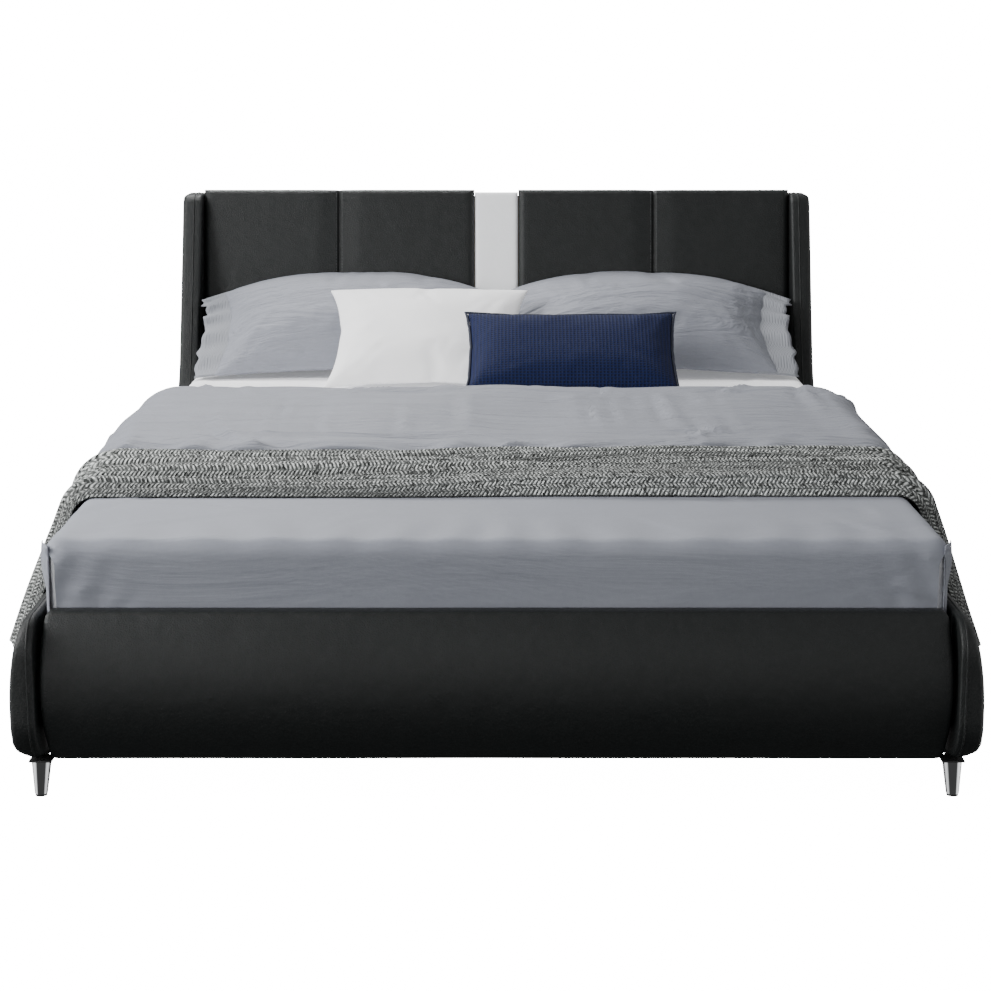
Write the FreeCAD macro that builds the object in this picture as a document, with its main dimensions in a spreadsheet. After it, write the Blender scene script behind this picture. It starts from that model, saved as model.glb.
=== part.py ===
import FreeCAD, Part
import math
import os

import Sketcher

# Upholstered queen-size sleigh bed, millimetres, +Z up, foot end towards -Y.
# The origin is on the floor under the middle of the bed's overall box.
# Two sleigh-shaped sides, each a rail and a wing, carry a bowed footboard, a headboard that leans
# back, a slatted deck and four plated legs. The mattress and the bedding lie on the deck.

doc = FreeCAD.newDocument("sleigh_bed")
V = FreeCAD.Vector

# ---------------------------------------------------------------- driving dimensions
DIMENSIONS = {
    # mattress
    "mattress_width": 1504, "mattress_length": 2032, "mattress_height": 229,
    "mattress_round": 30, "deck_height": 200, "rest_gap": 0.5,
    # sleigh sides: a rail and a wing, each a board core in a padded cover
    "rail_thick": 43, "rail_top_thick": 20, "rail_swell": 165, "rail_low_round": 38,
    "rail_gap": 8, "wing_gap": 2, "core_thick": 18, "inner_skin": 3,
    "cover_wall": 12, "side_bottom": 66, "rail_top": 316, "foot_reach": 97,
    "foot_low_round": 80, "foot_high_round": 60, "wing_run": 256, "sweep_radius": 220,
    "wing_angle": 70, "wing_top": 857, "wing_corner": 20, "wing_bend": 120,
    # footboard
    "footboard_top": 320, "footboard_back": 12, "footboard_board": 12, "footboard_bow": 46,
    "footboard_wall": 14, "rib_count": 3, "rib_thick": 18, "footboard_gap": 5,
    "footboard_end_bow": 11, "board_edge": 12, "trim_length": 200,
    # headboard
    "lean": 12, "head_gap": 4, "pad_thick": 46, "pad_low": 300, "pad_length": 586,
    "strip_width": 111, "strip_thick": 36, "pad_round": 14, "pad_gap": 1.5, "ply_thick": 12,
    "stile_width": 60, "stile_depth": 26, "stile_inset": 40, "stile_short": 30,
    "back_thick": 3, "cross_thick": 38, "cross_bottom": 110, "cross_gap": 1.5,
    "cross_clear": 1, "back_cover": 4, "ply_short": 2,
    # deck
    "slat_thick": 18, "slat_width": 90, "slat_count": 10, "slat_end_gap": 4, "slat_inset": 66,
    "slat_round": 4, "ledger_width": 30, "ledger_height": 40, "ledger_start": 62,
    "ledger_end_gap": 66, "beam_width": 40, "beam_height": 40, "beam_wall": 2, "beam_gap": 6,
    "hanger_thick": 3, "hanger_width": 70, "hanger_reach": 50, "hanger_height": 60,
    # centre legs and levelling feet
    "centre_leg_count": 2, "centre_leg_radius": 16, "centre_leg_bottom": 34,
    "stud_radius": 5, "stud_gap": 0.4, "stud_length": 40, "foot_radius": 22,
    "foot_height": 9, "bore_depth": 60,
    # corner legs
    "leg_top_radius": 17, "leg_low_radius": 11, "leg_inset": 38, "leg_sweep": 3,
    "leg_front_place": 32, "leg_rear_inset": 42, "glide_height": 4, "plate_thick": 3,
    "plate_width": 38, "plate_length": 38, "plate_inset": 20,
    # hardware
    "bracket_thick": 4, "bracket_arm": 54, "bracket_height": 52, "bracket_bottom": 112,
    "bolt_radius": 3, "bolt_head_radius": 7, "bolt_head": 4, "bolt_length": 12,
    "bolt_share": 0.6,
    # bedding
    "sheet_thick": 1.5, "sheet_gap": 4, "cover_thick": 3, "cover_tuck": 35, "cover_low": 232,
    "throw_start": 345, "throw_width": 343, "throw_thick": 32, "throw_low": 150,
    "throw_out": 52, "throw_clear": 6, "throw_round": 26, "layer_gap": 4,
    "duvet_thick": 42, "duvet_out": 30, "duvet_round": 38, "duvet_gap": 24, "rail_clear": 4,
    # pillows and cushions, each a crowned slab that leans back by its own tilt
    "pillow_spare": 32, "pillow_outset": 12, "pillow_height": 380, "pillow_thick": 120, "pillow_edge": 36,
    "pillow_tilt": 57,
    "white_width": 480, "white_height": 340, "white_thick": 80, "white_edge": 24,
    "white_tilt": 56, "white_side": -166,
    "navy_width": 500, "navy_height": 260, "navy_thick": 76, "navy_edge": 24,
    "navy_tilt": 52, "navy_side": 178, "pillow_gap": 1,
}

sheet = doc.addObject("Spreadsheet::Sheet", "dims")
for row, (alias, number) in enumerate(DIMENSIONS.items(), start=1):
    sheet.set(f"A{row}", alias)
    sheet.set(f"B{row}", str(number))
    sheet.setAlias(f"B{row}", alias)
doc.recompute()


class Size:
    """A length with its value and the sheet expression that gives it, so sums of sizes stay bound."""

    def __init__(self, text, value):
        self.text = text
        self.value = float(value)

    def __add__(self, other):
        other = as_size(other)
        return Size(f"({self.text} + {other.text})", self.value + other.value)

    def __sub__(self, other):
        other = as_size(other)
        return Size(f"({self.text} - {other.text})", self.value - other.value)

    def __mul__(self, other):
        other = as_size(other)
        return Size(f"({self.text} * {other.text})", self.value * other.value)

    def __truediv__(self, other):
        other = as_size(other)
        return Size(f"({self.text} / {other.text})", self.value / other.value)

    def __neg__(self):
        return Size(f"(0 - {self.text})", -self.value)

    def __radd__(self, other):
        return as_size(other) + self

    def __rsub__(self, other):
        return as_size(other) - self

    def __rmul__(self, other):
        return as_size(other) * self


def as_size(number):
    return number if isinstance(number, Size) else Size(repr(float(number)), number)


def dim(alias):
    return Size(f"dims.{alias}", sheet.get(alias))


def sine(angle):
    return Size(f"sin({angle.text} * 1 deg)", math.sin(math.radians(angle.value)))


def cosine(angle):
    return Size(f"cos({angle.text} * 1 deg)", math.cos(math.radians(angle.value)))


def root(size):
    return Size(f"sqrt({size.text})", math.sqrt(size.value))


def greater(a, b):
    return a if a.value >= b.value else b


def whole(alias):
    return int(round(sheet.get(alias)))


def bind(obj, name, size):
    obj.setExpression(name, as_size(size).text)


def place(obj, x=0, y=0, z=0, tilt=None):
    """Puts an object at x, y, z, turned by tilt degrees about X so that its top leans back."""
    if tilt is not None:
        obj.Placement = FreeCAD.Placement(V(0, 0, 0), FreeCAD.Rotation(V(1, 0, 0), -tilt.value))
        bind(obj, "Placement.Rotation.Angle", tilt)
        obj.Placement.Rotation.Axis = V(-1, 0, 0)
    for axis, size in zip("xyz", (x, y, z)):
        bind(obj, f"Placement.Base.{axis}", size)


# ---------------------------------------------------------------- builders
def box(name, x0, x1, y0, y1, z0, z1):
    made = doc.addObject("Part::Box", name)
    bind(made, "Length", as_size(x1) - x0)
    bind(made, "Width", as_size(y1) - y0)
    bind(made, "Height", as_size(z1) - z0)
    place(made, x0, y0, z0)
    return made


def rod(name, radius, length, x, y, z, axis=None):
    """A cylinder from x, y, z along +Z, or along a given axis."""
    made = doc.addObject("Part::Cylinder", name)
    if axis is not None:
        made.Placement = FreeCAD.Placement(V(0, 0, 0), FreeCAD.Rotation(V(0, 0, 1), V(*axis)))
    bind(made, "Radius", radius)
    bind(made, "Height", length)
    for letter, size in zip("xyz", (x, y, z)):
        bind(made, f"Placement.Base.{letter}", size)
    return made


def cut(name, base, tool):
    made = doc.addObject("Part::Cut", name)
    made.Base = base
    made.Tool = tool
    return made


def group(name, pieces):
    made = doc.addObject("Part::Compound", name)
    made.Links = pieces
    return made


def fuse(name, pieces):
    made = doc.addObject("Part::MultiFuse", name)
    made.Shapes = pieces
    return made


def sketch_on(body, role, offset=0):
    plane = [o for o in body.Origin.OriginFeatures if o.Role == role][0]
    made = body.newObject("Sketcher::SketchObject", body.Name + "_sketch")
    made.AttachmentSupport = (plane, [""])
    made.MapMode = "FlatFace"
    bind(made, "AttachmentOffset.Base.z", offset)
    return made


def outline(sketch, corners):
    """Draws a closed outline. A corner is (across, up), or (across, up, radius, turn) where an arc
    leads to it from the corner before; turn is 1 for an anticlockwise arc and -1 for a clockwise one."""
    count = len(corners)
    ends = []
    for i, corner in enumerate(corners):
        before = corners[i - 1]
        a = V(as_size(before[0]).value, as_size(before[1]).value, 0)
        b = V(as_size(corner[0]).value, as_size(corner[1]).value, 0)
        if len(corner) == 2:
            sketch.addGeometry(Part.LineSegment(a, b), False)
            ends.append((1, 2))
            continue
        radius, turn = as_size(corner[2]).value, corner[3]
        half = (b - a).Length / 2
        side = V(-(b - a).y, (b - a).x, 0).normalize() * turn
        centre = (a + b) * 0.5 + side * math.sqrt(max(radius ** 2 - half ** 2, 0))
        middle = centre - side * radius
        start, stop = (a, b) if turn > 0 else (b, a)
        first = math.atan2(start.y - centre.y, start.x - centre.x)
        last = math.atan2(stop.y - centre.y, stop.x - centre.x)
        circle = Part.Circle(centre, V(0, 0, 1), radius)
        sketch.addGeometry(Part.ArcOfCircle(circle, first, last), False)
        ends.append((1, 2) if turn > 0 else (2, 1))
    for i in range(count):
        j = (i + 1) % count
        sketch.addConstraint(Sketcher.Constraint("Coincident", i, ends[i][1], j, ends[j][0]))
    for i, corner in enumerate(corners):
        for kind, size in zip(("DistanceX", "DistanceY"), corner[:2]):
            size = as_size(size)
            number = sketch.addConstraint(Sketcher.Constraint(kind, i, ends[i][1], size.value))
            sketch.setExpression(f"Constraints[{number}]", size.text)
        if len(corner) > 2:
            size = as_size(corner[2])
            number = sketch.addConstraint(Sketcher.Constraint("Radius", i, size.value))
            sketch.setExpression(f"Constraints[{number}]", size.text)


def extrusion(name, role, corners, length, offset=0):
    """A body padded from one closed outline on an origin plane."""
    body = doc.addObject("PartDesign::Body", name)
    drawn = sketch_on(body, role, offset)
    outline(drawn, corners)
    pad = body.newObject("PartDesign::Pad", name + "_pad")
    pad.Profile = drawn
    bind(pad, "Length", length)
    doc.recompute()
    return body


def rectangle(x0, x1, y0, y1):
    return [(x0, y0), (x1, y0), (x1, y1), (x0, y1)]


def soften(body, radius, picks):
    """Rounds the edges of a body's tip that a test picks."""
    tip = body.Tip
    edges = [f"Edge{i}" for i, edge in enumerate(tip.Shape.Edges, start=1) if picks(edge.BoundBox)]
    fillet = body.newObject("PartDesign::Fillet", body.Name + "_fillet")
    fillet.Base = (tip, edges)
    bind(fillet, "Radius", radius)
    body.Tip = fillet
    doc.recompute()
    return body


def close(a, b):
    return abs(a - b) < 0.05


def in_plane(axis, where, but=None):
    """A test for an edge that lies in a plane, except those in a second plane."""
    def picks(box):
        low, high = getattr(box, axis + "Min"), getattr(box, axis + "Max")
        if not (close(low, where) and close(high, where)):
            return False
        if but is None:
            return True
        other, place = but
        return not (close(getattr(box, other + "Min"), place) and close(getattr(box, other + "Max"), place))
    return picks


def along_x(*spots):
    """A test for an edge along X that passes through one of some (y, z) spots."""
    def picks(box):
        if box.YLength > 0.05 or box.ZLength > 0.05:
            return False
        return any(close(box.YMin, y.value) and close(box.ZMin, z.value) for y, z in spots)
    return picks


# ---------------------------------------------------------------- shared places
# Places along the bed are first measured from the foot end of the mattress, then moved by foot_y.
lean = dim("lean")
slope = sine(lean) / cosine(lean)
half_mattress = dim("mattress_width") / 2
wing_inner = half_mattress + dim("wing_gap")
rail_inner = half_mattress + dim("rail_gap")
rail_outer = rail_inner + dim("rail_thick")
panel_half = rail_inner - dim("footboard_gap")
head_place = dim("mattress_length") + dim("head_gap")
board_front = dim("pad_thick")
board_back = board_front + dim("ply_thick")
stile_back = board_back + dim("stile_depth")
wing_rise = dim("wing_top") - dim("pad_low")
back_low_place = head_place + (stile_back + dim("back_thick") + dim("back_cover")) / cosine(lean)
back_top_place = back_low_place + wing_rise * slope
foot_y = (dim("foot_reach") - back_top_place) / 2
seam = dim("mattress_length") - dim("wing_run")
deck = dim("deck_height")
slat_bottom = deck - dim("slat_thick")
mattress_base = deck + dim("rest_gap")
mattress_top = mattress_base + dim("mattress_height")
SIDES = (("left", -1), ("right", 1))
parts = {}


def keep(label, made):
    made.Label = label
    parts[label] = made
    return made


def span_x(hand, inner, outer):
    """The lower and upper x of a span between two distances from the middle plane."""
    inner, outer = as_size(inner), as_size(outer)
    return (inner, outer) if hand > 0 else (-outer, -inner)


def at(along_bed):
    return foot_y + along_bed


# ---------------------------------------------------------------- sleigh sides
def rail_outline(inset):
    low = dim("side_bottom") + inset
    high = dim("rail_top") - inset
    front = -dim("foot_reach") + inset
    return rectangle(front, seam, low, high)


def wing_outline(inset):
    low = dim("side_bottom") + inset
    high = dim("rail_top") - inset
    top = dim("wing_top") - inset
    radius = dim("sweep_radius") + inset
    angle = dim("wing_angle")
    sweep_y = seam + radius * sine(angle)
    sweep_z = high + radius * (1 - cosine(angle))
    front_y = sweep_y + (top - sweep_z) * cosine(angle) / sine(angle)
    back_y = back_low_place - inset
    return [
        (seam, low),
        (back_y, low),
        (back_y, dim("pad_low")),
        (back_y + (top - dim("pad_low")) * slope, top),
        (front_y, top),
        (sweep_y, sweep_z),
        (seam, high, radius, -1),
    ]


def rail_section(t, hand, inset):
    """The rail seen from its end: flat inside, swelling out from its top edge, rounded underneath."""
    low = dim("side_bottom") + inset
    top = dim("rail_top") - inset
    swell = dim("rail_swell")
    thin = dim("rail_top_thick") * t / dim("rail_thick")
    run = t - thin
    arc = ((top - swell) * (top - swell) + run * run) / (2 * run)
    round_low = dim("rail_low_round") * t / dim("rail_thick")
    return [(hand * x, z, *rest) for x, z, *rest in (
        (as_size(0), low), (t - round_low, low), (t, low + round_low, round_low, hand),
        (t, swell), (thin, top, arc, hand), (as_size(0), top))]


def wing_section(t, hand, inset):
    """The wing seen from its end: flat on both faces and rounded underneath."""
    low = dim("side_bottom") + inset
    round_low = dim("rail_low_round") * t / dim("rail_thick")
    return [(hand * x, z, *rest) for x, z, *rest in (
        (as_size(0), low), (t - round_low, low), (t, low + round_low, round_low, hand),
        (t, dim("wing_top") + 1), (as_size(0), dim("wing_top") + 1))]


def both_ways(name, profile, section_outline, inner, hand, start, end):
    """What a profile seen from the side and a section seen from the end have in common."""
    length = extrusion(name + "_section", "XZ_Plane", section_outline, end - start)
    place(length, hand * inner, at(end), 0)
    common = doc.addObject("Part::MultiCommon", name)
    common.Shapes = [profile, length]
    return common


def padded_side(piece, hand_name, hand, inner, drawn, section, rounds, start, end):
    """A board core, and the padded cover that wraps it all round, thick outside and thin inside."""
    made = []
    for role, inset, t, face in (("slab", as_size(0), rail_outer - inner, inner),
                                 ("board", dim("cover_wall"), dim("core_thick"),
                                  inner + dim("inner_skin"))):
        profile = extrusion(f"{piece}_{role}_profile_{hand_name}", "YZ_Plane", drawn(inset), t)
        spots = [spot for spot in drawn(inset) if len(spot) == 2]
        for radius, numbers in rounds:
            soften(profile, radius - inset, along_x(*[spots[n] for n in numbers]))
        place(profile, span_x(hand, face, face + t)[0], foot_y, 0)
        made.append(both_ways(f"{piece}_{role}_{hand_name}", profile, section(t, hand, inset),
                              face, hand, start, end))
    doc.recompute()
    slab, board = made
    return board, cut(f"{piece}_cover_{hand_name}", slab, board)


side_pieces = {}
for hand_name, hand in SIDES:
    side_pieces["rail", hand] = padded_side(
        "rail", hand_name, hand, rail_inner, rail_outline, rail_section,
        [(dim("foot_low_round"), [0]), (dim("foot_high_round"), [3])], -dim("foot_reach") - 1, seam)
    side_pieces["wing", hand] = padded_side(
        "wing", hand_name, hand, wing_inner, wing_outline, wing_section,
        [(dim("wing_corner"), [1, 3, 4]), (dim("wing_bend"), [2])], seam, back_top_place + 1)

# ---------------------------------------------------------------- footboard
bow = dim("footboard_bow")
board_low = dim("side_bottom")
foot_front = dim("footboard_back") + dim("footboard_board")


def footboard_bulge(inset):
    """The lower and upper ends of the bowed front and the radius of its arc."""
    low = board_low + inset
    high = dim("footboard_top") - inset
    half = (high - low) / 2
    return low, high, (half * half + bow * bow) / (2 * bow)


def footboard_form():
    low, high, radius = footboard_bulge(as_size(0))
    back = -dim("footboard_back")
    lip = -foot_front - dim("footboard_wall")
    return [(back, high), (lip, high), (lip, low, radius, 1), (back, low)]


def footboard_hollow():
    low, high, radius = footboard_bulge(dim("footboard_wall"))
    return [(-foot_front, high), (-foot_front, low, radius, 1)]


front = extrusion("footboard_form", "YZ_Plane", footboard_form(), panel_half * 2)
place(front, -panel_half, foot_y, 0)
board_half = panel_half - dim("footboard_end_bow")
hollow_half = board_half - dim("footboard_wall")
hollow = extrusion("footboard_hollow", "YZ_Plane", footboard_hollow(), hollow_half * 2)
place(hollow, -hollow_half, foot_y, 0)
board = box("footboard_back_board", -board_half, board_half, at(-foot_front), at(-dim("footboard_back")),
            board_low + dim("board_edge"), dim("footboard_top") - dim("board_edge"))
end_half = (dim("footboard_top") - board_low) / 2
end_bow = dim("footboard_end_bow")
end_arc = (end_half * end_half + end_bow * end_bow) / (2 * end_bow)
ends = extrusion("footboard_ends", "XZ_Plane", [
    (-board_half, board_low, end_arc, 1), (board_half, board_low),
    (board_half, dim("footboard_top"), end_arc, 1), (-board_half, dim("footboard_top"))],
                 dim("trim_length"))
place(ends, 0, at(dim("trim_length") / 2), 0)
bowed = doc.addObject("Part::MultiCommon", "footboard_bowed")
bowed.Shapes = [front, ends]
footboard_cover = cut("footboard_shell", cut("footboard_rebate", bowed, board), hollow)
ribs = []
for n in range(whole("rib_count")):
    share = Size(str(n / (whole("rib_count") - 1)), n / (whole("rib_count") - 1))
    rib = extrusion(f"footboard_stay_{n + 1}", "YZ_Plane", footboard_hollow(), dim("rib_thick"))
    place(rib, -hollow_half + (hollow_half * 2 - dim("rib_thick")) * share, foot_y, 0)
    ribs.append(rib)

# ---------------------------------------------------------------- headboard, in its leaning frame
# Its outlines have y across the thickness from the padded face, and z up the lean.


def leaning(name, x0, x1, y0, y1, z0, z1):
    body = extrusion(name, "YZ_Plane", rectangle(y0, y1, z0, z1), as_size(x1) - x0)
    place(body, x0, at(head_place), dim("pad_low"), lean)
    return body


strip_half = dim("strip_width") / 2
pad_inner = strip_half + dim("pad_gap")
pad_outer = wing_inner - dim("pad_gap")
for hand_name, hand in SIDES:
    low_x, high_x = span_x(hand, pad_inner, pad_outer)
    pad = leaning(f"pad_{hand_name}", low_x, high_x, 0, dim("pad_thick"), 0, dim("pad_length"))
    soften(pad, dim("pad_round"), in_plane("Y", 0))
    keep(f"headboard_pad_{hand_name}", pad)
strip = leaning("strip", -strip_half, strip_half, dim("pad_thick") - dim("strip_thick"),
                dim("pad_thick"), 0, dim("pad_length") - dim("pad_round"))
keep("headboard_centre_strip", strip)
ply_top = dim("pad_length") - dim("pad_round") - dim("ply_short")
ply = leaning("headboard_ply", -pad_outer, pad_outer, board_front, board_back, 0, ply_top)
keep("headboard_board", ply)
stile_x = pad_outer - dim("stile_inset")
for hand_name, hand in SIDES:
    low_x, high_x = span_x(hand, stile_x - dim("stile_width"), stile_x)
    stile = leaning(f"stile_{hand_name}", low_x, high_x, board_back, stile_back, 0,
                    dim("pad_length") - dim("stile_short"))
    keep(f"headboard_stile_{hand_name}", stile)
cloth = leaning("back_cloth", -pad_outer, pad_outer, stile_back, stile_back + dim("back_thick"), 0,
                dim("pad_length") - dim("stile_short"))
keep("headboard_back_cloth", cloth)
cross_front = head_place + board_front * cosine(lean)
cross_half = wing_inner - dim("cross_clear")
cross_top = dim("pad_low") - (stile_back + dim("back_thick")) * sine(lean) - dim("cross_gap")
cross = box("cross_board", -cross_half, cross_half, at(cross_front),
            at(cross_front + dim("cross_thick")), dim("cross_bottom"), cross_top)

# ---------------------------------------------------------------- deck
ledger_end = cross_front - dim("ledger_end_gap")
for hand_name, hand in SIDES:
    low_x, high_x = span_x(hand, wing_inner - dim("ledger_width"), rail_inner)
    full = box(f"ledger_full_{hand_name}", low_x, high_x, at(dim("ledger_start")), at(ledger_end),
               slat_bottom - dim("ledger_height"), slat_bottom)
    low_x, high_x = span_x(hand, wing_inner, rail_inner + 1)
    notch = box(f"ledger_notch_{hand_name}", low_x, high_x, at(seam - 1), at(ledger_end + 1),
                slat_bottom - dim("ledger_height") - 1, slat_bottom + 1)
    keep(f"ledger_{hand_name}", cut(f"ledger_rebated_{hand_name}", full, notch))

slat_half = wing_inner - dim("slat_end_gap")
slat_step = (cross_front - 2 * dim("slat_inset") - dim("slat_width")) / (whole("slat_count") - 1)
for n in range(whole("slat_count")):
    slat_y = dim("slat_inset") + slat_step * n
    slat = extrusion(f"slat_board_{n + 1:02d}", "YZ_Plane",
                     rectangle(0, dim("slat_width"), 0, dim("slat_thick")), slat_half * 2)
    soften(slat, dim("slat_round"), in_plane("Z", sheet.get("slat_thick")))
    place(slat, -slat_half, at(slat_y), slat_bottom)
    keep(f"slat_{n + 1:02d}", slat)

beam_half = dim("beam_width") / 2
beam_low = slat_bottom - dim("beam_height")
beam_start = -dim("footboard_back") + dim("beam_gap")
beam_end = cross_front - dim("beam_gap")
beam_out = box("beam_outside", -beam_half, beam_half, at(beam_start), at(beam_end), beam_low, slat_bottom)
wall = dim("beam_wall")
beam_in = box("beam_inside", -beam_half + wall, beam_half - wall, at(beam_start - 1), at(beam_end + 1),
              beam_low + wall, slat_bottom - wall)
keep("centre_beam", cut("beam_tube", beam_out, beam_in))


def hanger(name, face, inward):
    """A plate on an end board with a shelf and cheeks that carry one end of the beam."""
    thick = dim("hanger_thick")
    half = dim("hanger_width") / 2
    low = beam_low - thick

    def reach(near, far):
        a, b = face + near * inward, face + far * inward
        return (at(a), at(b)) if inward > 0 else (at(b), at(a))

    y0, y1 = reach(as_size(0), thick)
    plate = box(name + "_plate", -half, half, y0, y1, low, low + dim("hanger_height"))
    y0, y1 = reach(as_size(0), dim("hanger_reach"))
    shelf = box(name + "_shelf", -beam_half - thick, beam_half + thick, y0, y1, low, beam_low)
    cheeks = [box(f"{name}_cheek_{n}", x0, x0 + thick, y0, y1, low, beam_low + dim("beam_height") / 2)
              for n, x0 in enumerate((-beam_half - thick, beam_half))]
    return fuse(name, [plate, shelf] + cheeks)


foot_hanger = hanger("beam_hanger_foot", -dim("footboard_back"), 1)
head_hanger = hanger("beam_hanger_head", cross_front, -1)
keep("beam_hangers", group("beam_hanger_pair", [foot_hanger, head_hanger]))

# ---------------------------------------------------------------- centre legs and levelling feet
bore_radius = dim("stud_radius") + dim("stud_gap")
for n in range(whole("centre_leg_count")):
    share = Size(str((n + 1) / (whole("centre_leg_count") + 1)), (n + 1) / (whole("centre_leg_count") + 1))
    leg_y = at(beam_start + (beam_end - beam_start) * share)
    post = rod(f"centre_post_{n + 1}", dim("centre_leg_radius"), beam_low - dim("centre_leg_bottom"),
               0, leg_y, dim("centre_leg_bottom"))
    bore = rod(f"centre_bore_{n + 1}", bore_radius, dim("bore_depth") + 1, 0, leg_y,
               dim("centre_leg_bottom") - 1)
    keep(f"centre_leg_{n + 1}", cut(f"centre_tube_{n + 1}", post, bore))
    pad_disc = rod(f"foot_disc_{n + 1}", dim("foot_radius"), dim("foot_height"), 0, leg_y, 0)
    stud = rod(f"foot_stud_{n + 1}", dim("stud_radius"),
               dim("centre_leg_bottom") + dim("stud_length"), 0, leg_y, 0)
    nut = doc.addObject("Part::Prism", f"foot_nut_{n + 1}")
    nut.Polygon = 6
    bind(nut, "Circumradius", dim("stud_radius") * 2)
    bind(nut, "Height", dim("foot_height") / 2)
    place(nut, 0, leg_y, dim("foot_height"))
    keep(f"levelling_foot_{n + 1}", fuse(f"levelling_stud_{n + 1}", [pad_disc, stud, nut]))

# ---------------------------------------------------------------- corner legs
leg_top = board_low - dim("plate_thick")
leg_front = -dim("leg_front_place")
leg_rear = dim("mattress_length") - dim("leg_rear_inset")
CORNERS = (("front_left", -1, leg_front), ("front_right", 1, leg_front),
           ("rear_left", -1, leg_rear), ("rear_right", 1, leg_rear))
plate_outer = rail_outer - dim("plate_inset")
glides, plates = [], []
for corner_name, hand, leg_place in CORNERS:
    leg_x = hand * (rail_outer - dim("leg_inset"))
    low_x = leg_x + hand * dim("leg_sweep")
    leg_y = at(leg_place)
    leg = doc.addObject("PartDesign::Body", "plated_leg_" + corner_name)
    rings = []
    for height, radius, shift in ((dim("glide_height"), dim("leg_low_radius"), low_x - leg_x),
                                  (leg_top, dim("leg_top_radius"), as_size(0))):
        ring = sketch_on(leg, "XY_Plane", height)
        ring.addGeometry(Part.Circle(V(shift.value, 0, 0), V(0, 0, 1), radius.value), False)
        across = ring.addConstraint(Sketcher.Constraint("DistanceX", -1, 1, 0, 3, shift.value))
        ring.setExpression(f"Constraints[{across}]", shift.text)
        ring.addConstraint(Sketcher.Constraint("PointOnObject", 0, 3, -1))
        wide = ring.addConstraint(Sketcher.Constraint("Radius", 0, radius.value))
        ring.setExpression(f"Constraints[{wide}]", radius.text)
        rings.append(ring)
    doc.recompute()
    loft = leg.newObject("PartDesign::AdditiveLoft", f"leg_loft_{corner_name}")
    loft.Profile = rings[0]
    loft.Sections = [rings[1]]
    place(leg, leg_x, leg_y, 0)
    doc.recompute()
    keep("corner_leg_" + corner_name, leg)
    glides.append(rod("glide_" + corner_name, dim("leg_low_radius") - 1, dim("glide_height"),
                      low_x, leg_y, 0))
    half_plate = dim("plate_length") / 2
    x0, x1 = span_x(hand, plate_outer - dim("plate_width"), plate_outer)
    plates.append(box("plate_" + corner_name, x0, x1, leg_y - half_plate, leg_y + half_plate,
                      leg_top, board_low))
keep("leg_glides", group("glide_set", glides))
keep("leg_plates", group("plate_set", plates))

# ---------------------------------------------------------------- corner brackets and their bolts
bolts = []
holes = []
thick = dim("bracket_thick")
arm = dim("bracket_arm")
low = dim("bracket_bottom")
high = low + dim("bracket_height")
for corner_name, hand, _ in CORNERS:
    at_foot = "front" in corner_name
    inner = rail_inner if at_foot else wing_inner
    end = at(-dim("footboard_back")) if at_foot else at(cross_front)
    inward = 1 if at_foot else -1
    x_face = hand * inner
    side_low, side_high = span_x(hand, inner - thick, inner)
    y_low, y_high = (end, end + arm) if at_foot else (end - arm, end)
    side_arm = box("bracket_side_" + corner_name, side_low, side_high, y_low, y_high, low, high)
    end_low, end_high = span_x(hand, inner - arm, inner)
    y_low, y_high = (end, end + thick) if at_foot else (end - thick, end)
    end_arm = box("bracket_end_" + corner_name, end_low, end_high, y_low, y_high, low, high)
    angle = fuse("bracket_angle_" + corner_name, [side_arm, end_arm])
    drilled = []
    for level in (low + dim("bracket_height") / 4, high - dim("bracket_height") / 4):
        spots = ((x_face, end + inward * arm * dim("bolt_share"), (hand, 0, 0)),
                 (x_face - hand * arm * dim("bolt_share"), end, (0, -inward, 0)))
        for x, y, axis in spots:
            back = thick + dim("bolt_head")
            start = [as_size(c) - back * d for c, d in zip((x, y, level), axis)]
            seat = [as_size(c) - thick * d for c, d in zip((x, y, level), axis)]
            tag = f"{corner_name}_{len(drilled)}"
            bolt_head = rod("bolt_head_" + tag, dim("bolt_head_radius"), dim("bolt_head"), *start, axis)
            shank = rod("bolt_shank_" + tag, dim("bolt_radius"), dim("bolt_length") + thick, *seat, axis)
            bolts.append(fuse("bolt_" + tag, [bolt_head, shank]))
            drilled.append(rod("bolt_hole_" + tag, dim("bolt_radius"), dim("bolt_length") + thick,
                               *seat, axis))
    holes += drilled
    keep("corner_bracket_" + corner_name,
         cut("bracket_" + corner_name, angle, group("bracket_holes_" + corner_name, drilled)))
keep("bracket_bolts", group("bolt_set", bolts))
all_holes = group("all_bolt_holes", holes)
for (piece, hand), (core, cover) in side_pieces.items():
    hand_name = "left" if hand < 0 else "right"
    keep(f"{piece}_core_{hand_name}", cut(f"{piece}_drilled_{hand_name}", core, all_holes))
    keep(f"{piece}_cover_{hand_name}", cut(f"{piece}_pierced_{hand_name}", cover, all_holes))
keep("footboard_board", cut("footboard_drilled", board, all_holes))
for n, rib in enumerate(ribs, start=1):
    keep(f"footboard_rib_{n}", rib)
keep("footboard_cover", footboard_cover)
keep("headboard_cross_rail", cut("cross_drilled", cross, all_holes))

# ---------------------------------------------------------------- pillows and cushions
skin = dim("cover_thick")
wrap = dim("sheet_thick")
pillow_floor = mattress_top + wrap + dim("rest_gap")


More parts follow.
